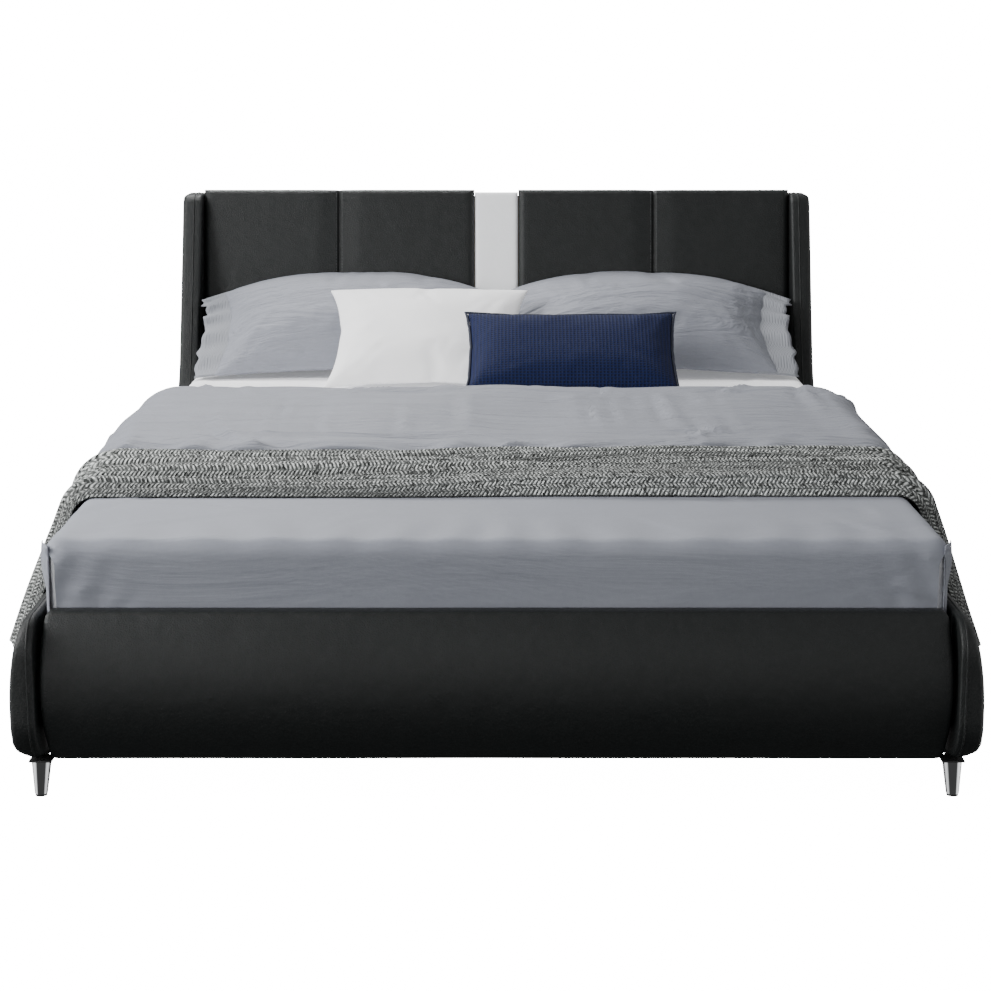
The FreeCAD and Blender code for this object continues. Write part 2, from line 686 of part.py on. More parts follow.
class Crowned:
    """A slab with two bowed faces and blunt edges that leans back, with its lowest point on the bed."""

    def __init__(self, stem, width):
        self.width = width
        self.half = dim(stem + "_height") / 2
        self.edge = dim(stem + "_edge") / 2
        self.tilt = dim(stem + "_tilt")
        crown = dim(stem + "_thick") / 2 - self.edge
        self.radius = (self.half * self.half + crown * crown) / (2 * crown)
        self.centre = self.radius - self.edge - crown
        on_corner = self.half * cosine(self.tilt) + self.edge * sine(self.tilt)
        on_face = self.radius - self.centre * sine(self.tilt)
        reach = math.degrees(math.asin(self.half.value / self.radius.value))
        bowed_down = 90 - self.tilt.value <= reach
        self.z = pillow_floor + (greater(on_corner, on_face) if bowed_down else on_corner)
        self.y = None

    def against_pad(self):
        """Rests the upper back edge against the leaning pads."""
        up = self.half * cosine(self.tilt) - self.edge * sine(self.tilt)
        back = self.half * sine(self.tilt) + self.edge * cosine(self.tilt)
        self.y = head_place + (self.z + up - dim("pad_low")) * slope - dim("pillow_gap") - back

    def against(self, other):
        """Rests the back face on the front face of the pillow behind it."""
        behind_y = other.y + other.centre * cosine(other.tilt)
        behind_z = other.z - other.centre * sine(other.tilt)
        rise = self.z + self.centre * sine(self.tilt) - behind_z
        apart = self.radius + other.radius + dim("pillow_gap")
        self.y = behind_y - root(apart * apart - rise * rise) + self.centre * cosine(self.tilt)

    def foremost(self):
        return self.y - self.half * sine(self.tilt) - self.edge * cosine(self.tilt)

    def make(self, name, side):
        body = extrusion(name + "_form", "YZ_Plane", [
            (-self.edge, -self.half, self.radius, 1), (self.edge, -self.half),
            (self.edge, self.half, self.radius, 1), (-self.edge, self.half)], self.width)
        place(body, side - self.width / 2, at(self.y), self.z, self.tilt)
        keep(name, body)


pillow = Crowned("pillow", half_mattress - dim("pillow_spare"))
pillow_side = half_mattress - dim("pillow_outset") - pillow.width / 2
pillow.against_pad()
pillow.make("pillow_left", -pillow_side)
pillow.make("pillow_right", pillow_side)
white = Crowned("white", dim("white_width"))
white.against(pillow)
white.make("cushion_white", dim("white_side"))
navy = Crowned("navy", dim("navy_width"))
navy.against(white)
navy.make("cushion_navy", dim("navy_side"))

# ---------------------------------------------------------------- mattress and its covers
throw_end = dim("throw_start") + dim("throw_width")
duvet_start = throw_end + dim("layer_gap")
duvet_end = navy.foremost() - dim("duvet_gap")
cover_end = duvet_end - dim("cover_tuck")
sheet_start = cover_end + dim("sheet_gap")


def slab_body(name, half, y0, y1, z0, z1, round_radius, picks):
    body = extrusion(name, "YZ_Plane", rectangle(0, as_size(y1) - y0, 0, as_size(z1) - z0), half * 2)
    soften(body, round_radius, picks)
    place(body, -half, at(y0), z0)
    return body


top_rim = in_plane("Z", (mattress_top - mattress_base).value)
mattress = slab_body("mattress_block", half_mattress, as_size(0), dim("mattress_length"), mattress_base,
                     mattress_top, dim("mattress_round"), top_rim)
keep("mattress", mattress)
cover_block = slab_body("coverlet_block", half_mattress + skin, -skin, cover_end, dim("cover_low"),
                        mattress_top + skin, dim("mattress_round") + skin,
                        in_plane("Z", (mattress_top + skin - dim("cover_low")).value,
                                 ("Y", (cover_end + skin).value)))
keep("coverlet", cut("coverlet_skin", cover_block, mattress))
sheet_block = slab_body("sheet_block", half_mattress + wrap, sheet_start,
                        dim("mattress_length") + wrap, dim("cover_low"), mattress_top + wrap,
                        dim("mattress_round") + wrap,
                        in_plane("Z", (mattress_top + wrap - dim("cover_low")).value, ("Y", 0)))
keep("fitted_sheet", cut("sheet_skin", sheet_block, mattress))


def saddle(name, start, end, thickness, outer_x, low_edge, inner_x=None):
    """A layer that lies across the bed, spreads over both rails and may hang down outside them."""
    under = mattress_top + skin + dim("rest_gap")
    top = under + thickness
    hip = half_mattress + skin + dim("layer_gap")
    ledge = dim("rail_top") + dim("rail_clear")
    if inner_x is None:
        right = [(outer_x, ledge), (hip, ledge), (hip, under)]
    else:
        right = [(outer_x, low_edge), (inner_x, low_edge), (inner_x, ledge), (hip, ledge), (hip, under)]
    left = [(-x, z) for x, z in right]
    corners = [(-outer_x, top)] + left + right[::-1] + [(outer_x, top)]
    body = extrusion(name, "XZ_Plane", corners, end - start)

    def shoulders(bounds):
        level = bounds.XLength < 0.05 and bounds.ZLength < 0.05
        return level and close(bounds.ZMin, top.value) and close(abs(bounds.XMin), outer_x.value)

    soften(body, dim(name.split("_")[0] + "_round"), shoulders)
    place(body, 0, at(end), 0)
    return body


keep("duvet", saddle("duvet_layer", duvet_start, duvet_end, dim("duvet_thick"),
                     rail_outer + dim("duvet_out"), None))
keep("throw_blanket", saddle("throw_layer", dim("throw_start"), throw_end, dim("throw_thick"),
                             rail_outer + dim("throw_out"), dim("throw_low"),
                             rail_outer + dim("throw_clear")))

doc.recompute()

# ---------------------------------------------------------------- export
os.makedirs("parts", exist_ok=True)
for label, made in sorted(parts.items()):
    if "Invalid" in made.State or "Error" in made.State:
        raise RuntimeError(f"{label} is {made.State}")
    if made.Shape.isNull() or not made.Shape.isValid() or not made.Shape.Solids:
        raise RuntimeError(f"{label} has no valid solid")
    made.Shape.exportStep(f"parts/{label}.step")
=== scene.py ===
import math

import bmesh
import bpy
import numpy as np
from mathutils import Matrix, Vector


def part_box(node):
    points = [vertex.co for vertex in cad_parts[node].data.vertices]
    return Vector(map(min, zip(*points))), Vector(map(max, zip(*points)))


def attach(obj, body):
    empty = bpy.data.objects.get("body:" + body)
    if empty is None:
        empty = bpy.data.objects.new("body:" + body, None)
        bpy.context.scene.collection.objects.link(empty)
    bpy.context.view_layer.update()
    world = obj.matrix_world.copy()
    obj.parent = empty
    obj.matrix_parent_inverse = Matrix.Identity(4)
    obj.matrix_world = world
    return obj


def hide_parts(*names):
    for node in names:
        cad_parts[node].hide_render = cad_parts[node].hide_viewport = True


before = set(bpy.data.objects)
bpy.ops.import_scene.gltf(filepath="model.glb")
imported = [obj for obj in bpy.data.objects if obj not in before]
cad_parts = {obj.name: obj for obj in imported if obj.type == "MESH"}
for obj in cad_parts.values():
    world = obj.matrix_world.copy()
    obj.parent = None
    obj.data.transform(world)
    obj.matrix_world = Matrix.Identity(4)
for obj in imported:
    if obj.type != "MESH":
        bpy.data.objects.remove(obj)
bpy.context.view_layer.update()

# ------------------------------------------------------------------ the view from the foot of the bed
# A long lens at a little over a metre, square to the foot end and tipped slightly down.
camera_data = bpy.data.cameras.new("foot_view")
camera_data.lens = 80.55
camera_data.clip_end = 60
camera = bpy.data.objects.new("foot_view", camera_data)
camera.location = (-0.0023, -4.6686, 1.2483)
camera.rotation_euler = (math.radians(90 - 11.63), 0, 0)
bpy.context.scene.collection.objects.link(camera)
bpy.context.scene.camera = camera

# ------------------------------------------------------------------ the room
# A white floor that runs out of sight under a white sky, both brighter to the eye than as lights, with
# wide soft lamps at the left and overhead, and two low ones in front, strong at the left and weak at the
# right.


def mesh_piece(name, points, faces, smooth=True):
    """A piece from a list of points and faces, with its place in its mesh."""
    mesh = bpy.data.meshes.new(name)
    mesh.from_pydata([tuple(p) for p in points], [], [tuple(f) for f in faces])
    mesh.update()
    mesh.polygons.foreach_set("use_smooth", [smooth] * len(mesh.polygons))
    piece = bpy.data.objects.new(name, mesh)
    bpy.context.scene.collection.objects.link(piece)
    return piece


def node_material(name, rough, metal=0.0):
    """A material with its nodes, its Principled shader and a helper that adds and links nodes."""
    made = bpy.data.materials.new(name)
    made.use_nodes = True
    tree = made.node_tree
    shader = next(n for n in tree.nodes if n.type == "BSDF_PRINCIPLED")
    shader.inputs["Roughness"].default_value = rough
    shader.inputs["Metallic"].default_value = metal
    return made, tree, shader


def wire(tree, kind, links=(), **settings):
    """Adds a node, sets its values by name and links each named input to an output."""
    node = tree.nodes.new(kind)
    for key, value in settings.items():
        if hasattr(node, key):
            setattr(node, key, value)
        else:
            node.inputs[key.replace("_", " ")].default_value = value
    for key, source in dict(links).items():
        tree.links.new(source, node.inputs[key])
    return node


floor = mesh_piece("floor", [(-30, -30, 0), (30, -30, 0), (30, 30, 0), (-30, 30, 0)], [(0, 1, 2, 3)], False)
floor_paint, _, floor_shader = node_material("floor_paint", 0.9)
floor_shader.inputs["Base Color"].default_value = (0.9, 0.9, 0.9, 1)
floor_shader.inputs["Emission Color"].default_value = (1, 1, 1, 1)
floor_shader.inputs["Emission Strength"].default_value = 16.0
floor.data.materials.append(floor_paint)

floor.visible_glossy = False
floor.visible_diffuse = False

sky = bpy.data.worlds.new("pale_sky")
sky.use_nodes = True
sky_tree = sky.node_tree
sky_shader = sky_tree.nodes["Background"]
sky_ray = wire(sky_tree, "ShaderNodeLightPath")
sky_way = wire(sky_tree, "ShaderNodeTexCoord").outputs["Generated"]
sky_place = wire(sky_tree, "ShaderNodeSeparateXYZ", {0: sky_way})
sky_rise = wire(sky_tree, "ShaderNodeMapRange", {"Value": sky_place.outputs["Z"]}, From_Min=-0.25,
                From_Max=0.35, To_Min=0.06, To_Max=0.42)
sky_side = wire(sky_tree, "ShaderNodeMath", {0: sky_place.outputs["X"]}, operation="ABSOLUTE")
sky_panels = wire(sky_tree, "ShaderNodeMapRange", {"Value": sky_side.outputs[0]}, From_Min=0.72,
                  From_Max=0.90, To_Min=0.0, To_Max=1.5)
sky_both = wire(sky_tree, "ShaderNodeMath", {0: sky_rise.outputs[0], 1: sky_panels.outputs[0]},
                operation="ADD")
sky_glossy = wire(sky_tree, "ShaderNodeMix", {"Factor": sky_ray.outputs["Is Glossy Ray"],
                                              2: sky_rise.outputs[0], 3: sky_both.outputs[0]})
sky_seen = wire(sky_tree, "ShaderNodeMix", {"Factor": sky_ray.outputs["Is Camera Ray"],
                                            2: sky_glossy.outputs[0]})
sky_seen.inputs[3].default_value = 18.0
sky_shader.inputs["Color"].default_value = (1, 1, 1, 1)
sky_tree.links.new(sky_seen.outputs[0], sky_shader.inputs["Strength"])
bpy.context.scene.world = sky


def soft_lamp(name, place, aim, size, power):
    data = bpy.data.lights.new(name, "AREA")
    data.shape = "RECTANGLE"
    data.size, data.size_y = size
    data.energy = power
    lamp = bpy.data.objects.new(name, data)
    lamp.location = place
    lamp.rotation_euler = (Vector(aim) - Vector(place)).to_track_quat("-Z", "Y").to_euler()
    bpy.context.scene.collection.objects.link(lamp)


soft_lamp("left_window", (-3.3, -1.2, 2.2), (0, 0.1, 0.4), (1.5, 1.5), 185)
soft_lamp("overhead", (-0.9, 1.9, 2.8), (0, -0.4, 0.4), (1.5, 1.0), 95)
soft_lamp("front_left", (-2.0, -4.6, 0.95), (0, -0.8, 0.3), (1.6, 1.0), 60)
soft_lamp("front_right", (2.4, -4.2, 0.8), (0.2, -0.8, 0.2), (0.7, 1.0), 10)

# ------------------------------------------------------------------ side rails
# Each rail is a board wrapped in foam and black leatherette: flat inside, swelling out from a thin top
# edge, and rounded underneath and at the foot end. A welt runs round the rim where the covers are sewn.


def grained_leather(name, colour, painted_sheen_colour, rough, grain=0.6):
    """Coated leatherette: fine pebbled grain, soft creases, and a painted sheen that gives the raised crease
    tops a lighter colour.
    """
    made, tree, shader = node_material(name, rough)
    place = wire(tree, "ShaderNodeTexCoord").outputs["Object"]
    pebbles = wire(tree, "ShaderNodeTexVoronoi", {"Vector": place}, Scale=420.0)
    fine = wire(tree, "ShaderNodeTexNoise", {"Vector": place}, Scale=900.0, Detail=3.0)
    creases = wire(tree, "ShaderNodeTexNoise", {"Vector": place}, Scale=26.0, Detail=5.0, Roughness=0.6)
    grain_mix = wire(tree, "ShaderNodeMath", {0: pebbles.outputs["Distance"], 1: fine.outputs["Fac"]},
                     operation="ADD")
    small = wire(tree, "ShaderNodeBump", {"Height": grain_mix.outputs[0]}, Strength=grain, Distance=0.0009)
    large = wire(tree, "ShaderNodeBump", {"Height": creases.outputs["Fac"], "Normal": small.outputs[0]},
                 Strength=0.35, Distance=0.005)
    # Painted sheen: where the crease bump rises, the colour moves towards the lighter sheen colour.
    tone = wire(tree, "ShaderNodeMix", {"Factor": creases.outputs["Fac"]}, data_type="RGBA")
    tone.inputs[6].default_value = (*colour, 1)
    tone.inputs[7].default_value = (*painted_sheen_colour, 1)
    dull = wire(tree, "ShaderNodeMapRange", {"Value": pebbles.outputs["Distance"]}, From_Max=0.8,
                To_Min=rough - 0.05, To_Max=rough + 0.1)
    tree.links.new(large.outputs[0], shader.inputs["Normal"])
    tree.links.new(tone.outputs[2], shader.inputs["Base Color"])
    tree.links.new(dull.outputs[0], shader.inputs["Roughness"])
    shader.inputs["Specular IOR Level"].default_value = 0.34
    return made


black_leatherette = grained_leather("black_leatherette", (0.0050, 0.0064, 0.0064),
                                    (0.0085, 0.0102, 0.0102), 0.44)


def dress(piece, material, body, replaced=()):
    """Gives a finished piece its material, the body it rides on and the CAD nodes it stands for."""
    piece.data.materials.clear()
    piece.data.materials.append(material)
    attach(piece, body)
    if replaced:
        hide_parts(*replaced)


def eased(distance, radius):
    """How far a rounded edge has risen, from 0 at the rim to 1 a radius inside it."""
    u = np.clip(distance / radius, 0, 1)
    return np.sqrt(np.clip(1 - (1 - u) ** 2, 0, 1))


def rim_distance(spots, rim):
    """The distance of flat spots from a closed outline."""
    a, b = rim, np.roll(rim, -1, axis=0)
    along = b - a
    length = np.maximum((along ** 2).sum(1), 1e-12)
    out = np.empty(len(spots))
    for i in range(0, len(spots), 2000):
        p = spots[i:i + 2000, None, :]
        t = np.clip(((p - a) * along).sum(2) / length, 0, 1)
        out[i:i + 2000] = np.sqrt(((p - a - t[..., None] * along) ** 2).sum(2)).min(1)
    return out


def steps_between(low, high, edge, middle):
    """Places from low to high, close together within edge of both ends."""
    near = edge * (1 - np.cos(np.linspace(0, math.pi / 2, 6)))
    inner = np.linspace(low + edge, high - edge, middle + 1)[1:-1]
    return np.concatenate([low + near, inner, high - near[::-1]])


def ripple(a, b, seed, size, height):
    """Slow uneven swelling of foam under a cover."""
    rng = np.random.default_rng(seed)
    total = np.zeros(np.shape(a))
    for _ in range(7):
        ka, kb = rng.normal(0, 1 / size, 2)
        total += np.sin(ka * a + kb * b + rng.uniform(0, 6.28))
    return total * height / 4


def two_faced(name, grid, front, back, to_place):
    """A closed padded panel on a grid of flat spots, from how far its two faces stand at each spot."""
    rows, cols = grid.shape[:2]
    flat = grid.reshape(-1, 2)
    points = [to_place(a, b, h) for (a, b), h in zip(flat, front.ravel())]
    points += [to_place(a, b, h) for (a, b), h in zip(flat, back.ravel())]
    count = rows * cols
    faces = []
    for r in range(rows - 1):
        for c in range(cols - 1):
            k = r * cols + c
            faces.append((k, k + 1, k + cols + 1, k + cols))
            faces.append((count + k, count + k + cols, count + k + cols + 1, count + k + 1))
    rim = border(rows, cols)
    for k, m in zip(rim, rim[1:] + rim[:1]):
        faces.append((k, k + count, m + count, m))
    piece = mesh_piece(name, points, faces)
    outward(piece)
    return piece


def border(rows, cols):
    """The border of a grid as one loop of numbers."""
    return ([c for c in range(cols)] + [r * cols + cols - 1 for r in range(1, rows)]
            + [(rows - 1) * cols + c for c in range(cols - 2, -1, -1)]
            + [r * cols for r in range(rows - 2, 0, -1)])


def outward(piece):
    """Merges doubles and turns every face outwards."""
    work = bmesh.new()
    work.from_mesh(piece.data)
    bmesh.ops.remove_doubles(work, verts=work.verts, dist=1e-6)
    bmesh.ops.recalc_face_normals(work, faces=work.faces)
    work.to_mesh(piece.data)
    work.free()
    piece.data.polygons.foreach_set("use_smooth", [True] * len(piece.data.polygons))


def evaluated_copy(name, source):
    """The plain mesh that an object's modifiers give, as a piece of its own."""
    bpy.context.view_layer.update()
    ready = source.evaluated_get(bpy.context.evaluated_depsgraph_get())
    made = bpy.data.objects.new(name, bpy.data.meshes.new_from_object(ready))
    bpy.context.scene.collection.objects.link(made)
    bpy.data.objects.remove(source)
    made.name = name
    made.data.polygons.foreach_set("use_smooth", [True] * len(made.data.polygons))
    return made


def node_group(name, sockets):
    """An empty Geometry Nodes tree with a mesh in and out, and named number inputs."""
    tree = bpy.data.node_groups.new(name, "GeometryNodeTree")
    tree.interface.new_socket("Geometry", in_out="INPUT", socket_type="NodeSocketGeometry")
    tree.interface.new_socket("Geometry", in_out="OUTPUT", socket_type="NodeSocketGeometry")
    for label, value in sockets.items():
        tree.interface.new_socket(label, in_out="INPUT", socket_type="NodeSocketFloat").default_value = value
    return tree, tree.nodes.new("NodeGroupInput"), tree.nodes.new("NodeGroupOutput")


def use_group(source, tree, name, **values):
    """Runs a tree on an object with its inputs set, and returns the plain mesh piece."""
    modifier = source.modifiers.new(tree.name, "NODES")
    modifier.node_group = tree
    for item in tree.interface.items_tree:
        if item.item_type == "SOCKET" and item.in_out == "INPUT" and item.name in values:
            modifier[item.identifier] = float(values[item.name])
    return evaluated_copy(name, source)


def welt_tree(material):
    """A sewn welt: a thin round cord swept along the edges of a line."""
    tree, given, result = node_group("welt", {"Radius": 0.0016})
    line = wire(tree, "GeometryNodeMeshToCurve", {"Mesh": given.outputs["Geometry"]})
    ring = wire(tree, "GeometryNodeCurvePrimitiveCircle", {"Radius": given.outputs["Radius"]}, Resolution=8)
    cord = wire(tree, "GeometryNodeCurveToMesh", {"Curve": line.outputs[0], "Profile Curve": ring.outputs[0]},
                Fill_Caps=True)
    whole = wire(tree, "GeometryNodeRealizeInstances", {0: cord.outputs[0]})
    coloured = wire(tree, "GeometryNodeSetMaterial", {"Geometry": whole.outputs[0]}, Material=material)
    tree.links.new(coloured.outputs[0], result.inputs[0])
    return tree


welt = welt_tree(black_leatherette)


def line_piece(name, points, closed=False):
    mesh = bpy.data.meshes.new(name)
    edges = [(i, i + 1) for i in range(len(points) - 1)] + ([(len(points) - 1, 0)] if closed else [])
    mesh.from_pydata([tuple(p) for p in points], edges, [])
    made = bpy.data.objects.new(name, mesh)
    bpy.context.scene.collection.objects.link(made)
    return made


rail_low, rail_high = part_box("rail_cover_right")
foot_end, rail_seam = rail_low[1], rail_high[1]
rail_bottom, rail_top = rail_low[2], rail_high[2]
rail_face, rail_full = rail_low[0], rail_high[0] - rail_low[0]
rail_rise = np.array([0, 0.02, 0.05, 0.1, 0.16, 0.23, 0.31, 0.4, 0.5, 0.6, 0.69, 0.77, 0.84, 0.9, 0.95,
                      0.98, 1])


def rail_thickness(z):
    """The rail's section: full at its swell, thin at its top edge and rounded underneath."""
    swell, thin, low_round = 0.165, 0.020, 0.038
    run, height = rail_full - thin, rail_top - swell
    arc = (height ** 2 + run ** 2) / (2 * run)
    upper = np.where(z > swell, arc - np.sqrt(np.maximum(arc ** 2 - (z - swell) ** 2, 0)), 0)
    below = np.clip(rail_bottom + low_round - z, 0, low_round)
    lower = low_round - np.sqrt(low_round ** 2 - below ** 2)
    return rail_full - upper - np.maximum(lower, 0)


for hand_name, hand in (("left", -1), ("right", 1)):
    along = foot_end + np.concatenate([0.08 * (1 - np.cos(np.linspace(0, math.pi / 2, 14))),
                                       np.linspace(0.1, rail_seam - foot_end - 0.012, 60),
                                       [rail_seam - foot_end - 0.006, rail_seam - foot_end]])
    from_front = along - foot_end
    under = rail_bottom + 0.080 - np.sqrt(0.080 ** 2 - np.clip(0.080 - from_front, 0, 0.080) ** 2)
    over = rail_top - 0.060 + np.sqrt(0.060 ** 2 - np.clip(0.060 - from_front, 0, 0.060) ** 2)
    height = under[:, None] + (over - under)[:, None] * rail_rise[None, :]
    grid = np.stack([np.repeat(along[:, None], len(rail_rise), 1), height], axis=2)
    outline = grid.reshape(-1, 2)[border(*grid.shape[:2])]
    inside = rim_distance(grid.reshape(-1, 2), outline).reshape(grid.shape[:2])
    full = rail_thickness(grid[..., 1]) + ripple(grid[..., 0], grid[..., 1], 3 + hand, 0.12, 0.0008)
    front = full - 0.009 + 0.009 * eased(inside, 0.009)
    back = 0.003 - 0.003 * eased(inside, 0.004)
    rail = two_faced(f"rail_upholstery_{hand_name}", grid, front, back,
                     lambda a, b, h, hand=hand: (hand * (rail_face + h), a, b))
    dress(rail, black_leatherette, "frame", [f"rail_cover_{hand_name}"])
    seam_line = [(hand * (rail_face + 0.010), a, b) for a, b in outline
                 if a < foot_end + 0.35 and not (b < rail_bottom + 0.002)]
    order = np.array([p for p in seam_line])
    turn = np.argsort(np.arctan2(order[:, 2] - 0.2, -(order[:, 1] - foot_end - 0.3)))
    rail_welt = use_group(line_piece(f"rail_welt_{hand_name}", order[turn]), welt, f"rail_welt_{hand_name}",
                          Radius=0.0018)
    dress(rail_welt, black_leatherette, "frame")

# ------------------------------------------------------------------ headboard wings
# The wings carry on from the rails, sweep up beside the mattress and lean back with the headboard.
# Each is a padded board, sewn round its edge with a welt.
wing_low, wing_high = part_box("wing_cover_right")
wing_face, wing_full = wing_low[0], wing_high[0] - wing_low[0]
wing_top = wing_high[2]
lean = math.tan(math.radians(12))
back_low = wing_high[1] - (wing_top - 0.300) * lean
sweep = 0.220
sweep_end = rail_top + sweep * (1 - math.cos(math.radians(70)))


def wing_front(z):
    curve = rail_seam + np.sqrt(np.clip(sweep ** 2 - (sweep - np.clip(z - rail_top, 0, sweep)) ** 2, 0, None))
    straight = rail_seam + sweep * math.sin(math.radians(70)) + (z - sweep_end) / math.tan(math.radians(70))
    corner = 0.020 - np.sqrt(np.clip(0.020 ** 2 - np.clip(z - (wing_top - 0.020), 0, 0.020) ** 2, 0, None))
    return np.where(z < sweep_end, curve, straight) + corner


def wing_back(z):
    corner = 0.020 - np.sqrt(np.clip(0.020 ** 2 - np.clip(z - (wing_top - 0.020), 0, 0.020) ** 2, 0, None))
    heel = 0.020 - np.sqrt(np.clip(0.020 ** 2 - np.clip(rail_bottom + 0.020 - z, 0, 0.020) ** 2, 0, None))
    return back_low + np.clip(z - 0.300, 0, None) * lean - corner - heel


levels = np.concatenate([
    rail_bottom + 0.038 * (1 - np.cos(np.linspace(0, math.pi / 2, 9))),
    np.linspace(0.13, rail_top - 0.004, 12),
    rail_top + sweep * (1 - np.cos(np.radians(np.linspace(0, 70, 26)))),
    np.linspace(sweep_end + 0.015, wing_top - 0.022, 22),
    wing_top - 0.020 + 0.020 * np.sin(np.linspace(0, math.pi / 2, 9))])
across = steps_between(0, 1, 0.09, 16)
for hand_name, hand in (("left", -1), ("right", 1)):
    starts, ends = wing_front(levels), wing_back(levels)
    y = starts[:, None] + (ends - starts)[:, None] * across[None, :]
    grid = np.stack([y, np.repeat(levels[:, None], len(across), 1)], axis=2)
    outline = grid.reshape(-1, 2)[border(*grid.shape[:2])]
    inside = rim_distance(grid.reshape(-1, 2), outline).reshape(grid.shape[:2])
    below = np.clip(rail_bottom + 0.038 - grid[..., 1], 0, 0.038)
    rounded = 0.038 - np.sqrt(0.038 ** 2 - below ** 2)
    swell = ripple(grid[..., 0], grid[..., 1], 11 + hand, 0.1, 0.0007)
    front = wing_full - rounded - 0.011 + 0.011 * eased(inside, 0.011) + swell
    back = 0.007 - 0.007 * eased(inside, 0.009)
    wing = two_faced(f"wing_upholstery_{hand_name}", grid, front, back,
                     lambda a, b, h, hand=hand: (hand * (wing_face + h), a, b))
    dress(wing, black_leatherette, "frame", [f"wing_cover_{hand_name}"])
    rise = levels[levels > rail_top + 0.004]
    edge = [(hand * (wing_face + 0.020), a, b) for a, b in zip(wing_front(rise), rise)]
    edge += [(hand * (wing_face + 0.020), a, b)
             for a, b in zip(wing_back(rise[::-1]), rise[::-1])]
    wing_welt = use_group(line_piece(f"wing_welt_{hand_name}", edge), welt, f"wing_welt_{hand_name}",
                          Radius=0.0018)
    dress(wing_welt, black_leatherette, "frame")

# ------------------------------------------------------------------ footboard
# A low bowed panel between the rails: foam over bent board, covered in one piece of leatherette that is
# pulled round its upper and lower edges and tucked in at both ends.
board_low, board_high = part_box("footboard_cover")
board_back = board_high[1]
board_bottom, board_top = board_low[2], board_high[2]
board_lip = 0.026
board_bow = board_back - board_low[1] - board_lip
half_rise = (board_top - board_bottom) / 2
bow_radius = (half_rise ** 2 + board_bow ** 2) / (2 * board_bow)
bow_centre = board_back - board_lip - board_bow + bow_radius
swing = math.asin(half_rise / bow_radius)
middle_z = (board_top + board_bottom) / 2
turns = np.linspace(swing, -swing, 41)
profile = [(board_back, board_top), (board_back - 0.013, board_top)]
profile += [(bow_centre - bow_radius * math.cos(t), middle_z + bow_radius * math.sin(t)) for t in turns]
profile += [(board_back - 0.013, board_bottom), (board_back, board_bottom)]
profile = np.array(profile)
tangent = np.gradient(profile, axis=0)
normal = np.stack([-tangent[:, 1], tangent[:, 0]], 1)
normal /= np.linalg.norm(normal, axis=1)[:, None]
if normal[len(normal) // 2, 0] > 0:
    normal = -normal
half_end = board_high[0] - 0.011
end_at = half_end + 0.011 * np.sqrt(np.clip(1 - ((profile[:, 1] - middle_z) / half_rise) ** 2, 0, 1))
stations = steps_between(-1, 1, 0.016, 70)
points = []
for s in stations:
    x = s * end_at
    from_end = end_at - np.abs(x)
    drop = 0.011 * (1 - eased(from_end, 0.011)) - ripple(x, profile[:, 1], 21, 0.12, 0.0018)
    soft = np.clip(np.minimum(profile[:, 1] - board_bottom, board_top - profile[:, 1]) / 0.03, 0, 1)
    place = profile - normal * (drop * np.maximum(soft, 0.25))[:, None]
    points += [(a, b, c) for a, (b, c) in zip(x, place)]
n = len(profile)
faces = [(i * n + j, i * n + j + 1, (i + 1) * n + j + 1, (i + 1) * n + j)
         for i in range(len(stations) - 1) for j in range(n - 1)]
faces += [(i * n + n - 1, i * n, (i + 1) * n, (i + 1) * n + n - 1) for i in range(len(stations) - 1)]
faces += [tuple(range(n)), tuple(range((len(stations) - 1) * n, len(stations) * n))]
footboard = mesh_piece("footboard_upholstery", points, faces)
outward(footboard)
dress(footboard, black_leatherette, "frame", ["footboard_cover"])

# ------------------------------------------------------------------ headboard pads
# Two wide foam pads in black leatherette lean back between the wings. Each is two panels joined by an
# upright seam that pulls the foam in, topstitched down both sides with matching thread.
pad_low, pad_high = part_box("headboard_pad_right")
tilt = math.radians(12)
pad_deep = 0.046
pad_base = 0.300
pad_tall = (pad_high[2] - pad_base) / math.cos(tilt)
pad_near, pad_far = pad_low[0], pad_high[0]
pad_seam = (pad_near + pad_far) / 2
pad_foot_y = pad_high[1] - pad_deep * math.cos(tilt) - pad_tall * math.sin(tilt)


def leaned(x, up, out):
    """A place on the headboard: across, up the lean, and out from the pads' back."""
    deep = pad_deep - out
    return (x, pad_foot_y + deep * math.cos(tilt) + up * math.sin(tilt),
            pad_base - deep * math.sin(tilt) + up * math.cos(tilt))


black_thread, thread_tree, thread_shader = node_material("black_thread", 0.7)
thread_place = wire(thread_tree, "ShaderNodeTexCoord").outputs["Object"]
thread_twist = wire(thread_tree, "ShaderNodeTexWave", {"Vector": thread_place}, Scale=900.0)
thread_bump = wire(thread_tree, "ShaderNodeBump", {"Height": thread_twist.outputs["Fac"]}, Strength=0.5,
                   Distance=0.0002)
thread_tree.links.new(thread_bump.outputs[0], thread_shader.inputs["Normal"])
thread_shader.inputs["Base Color"].default_value = (0.055, 0.06, 0.06, 1)


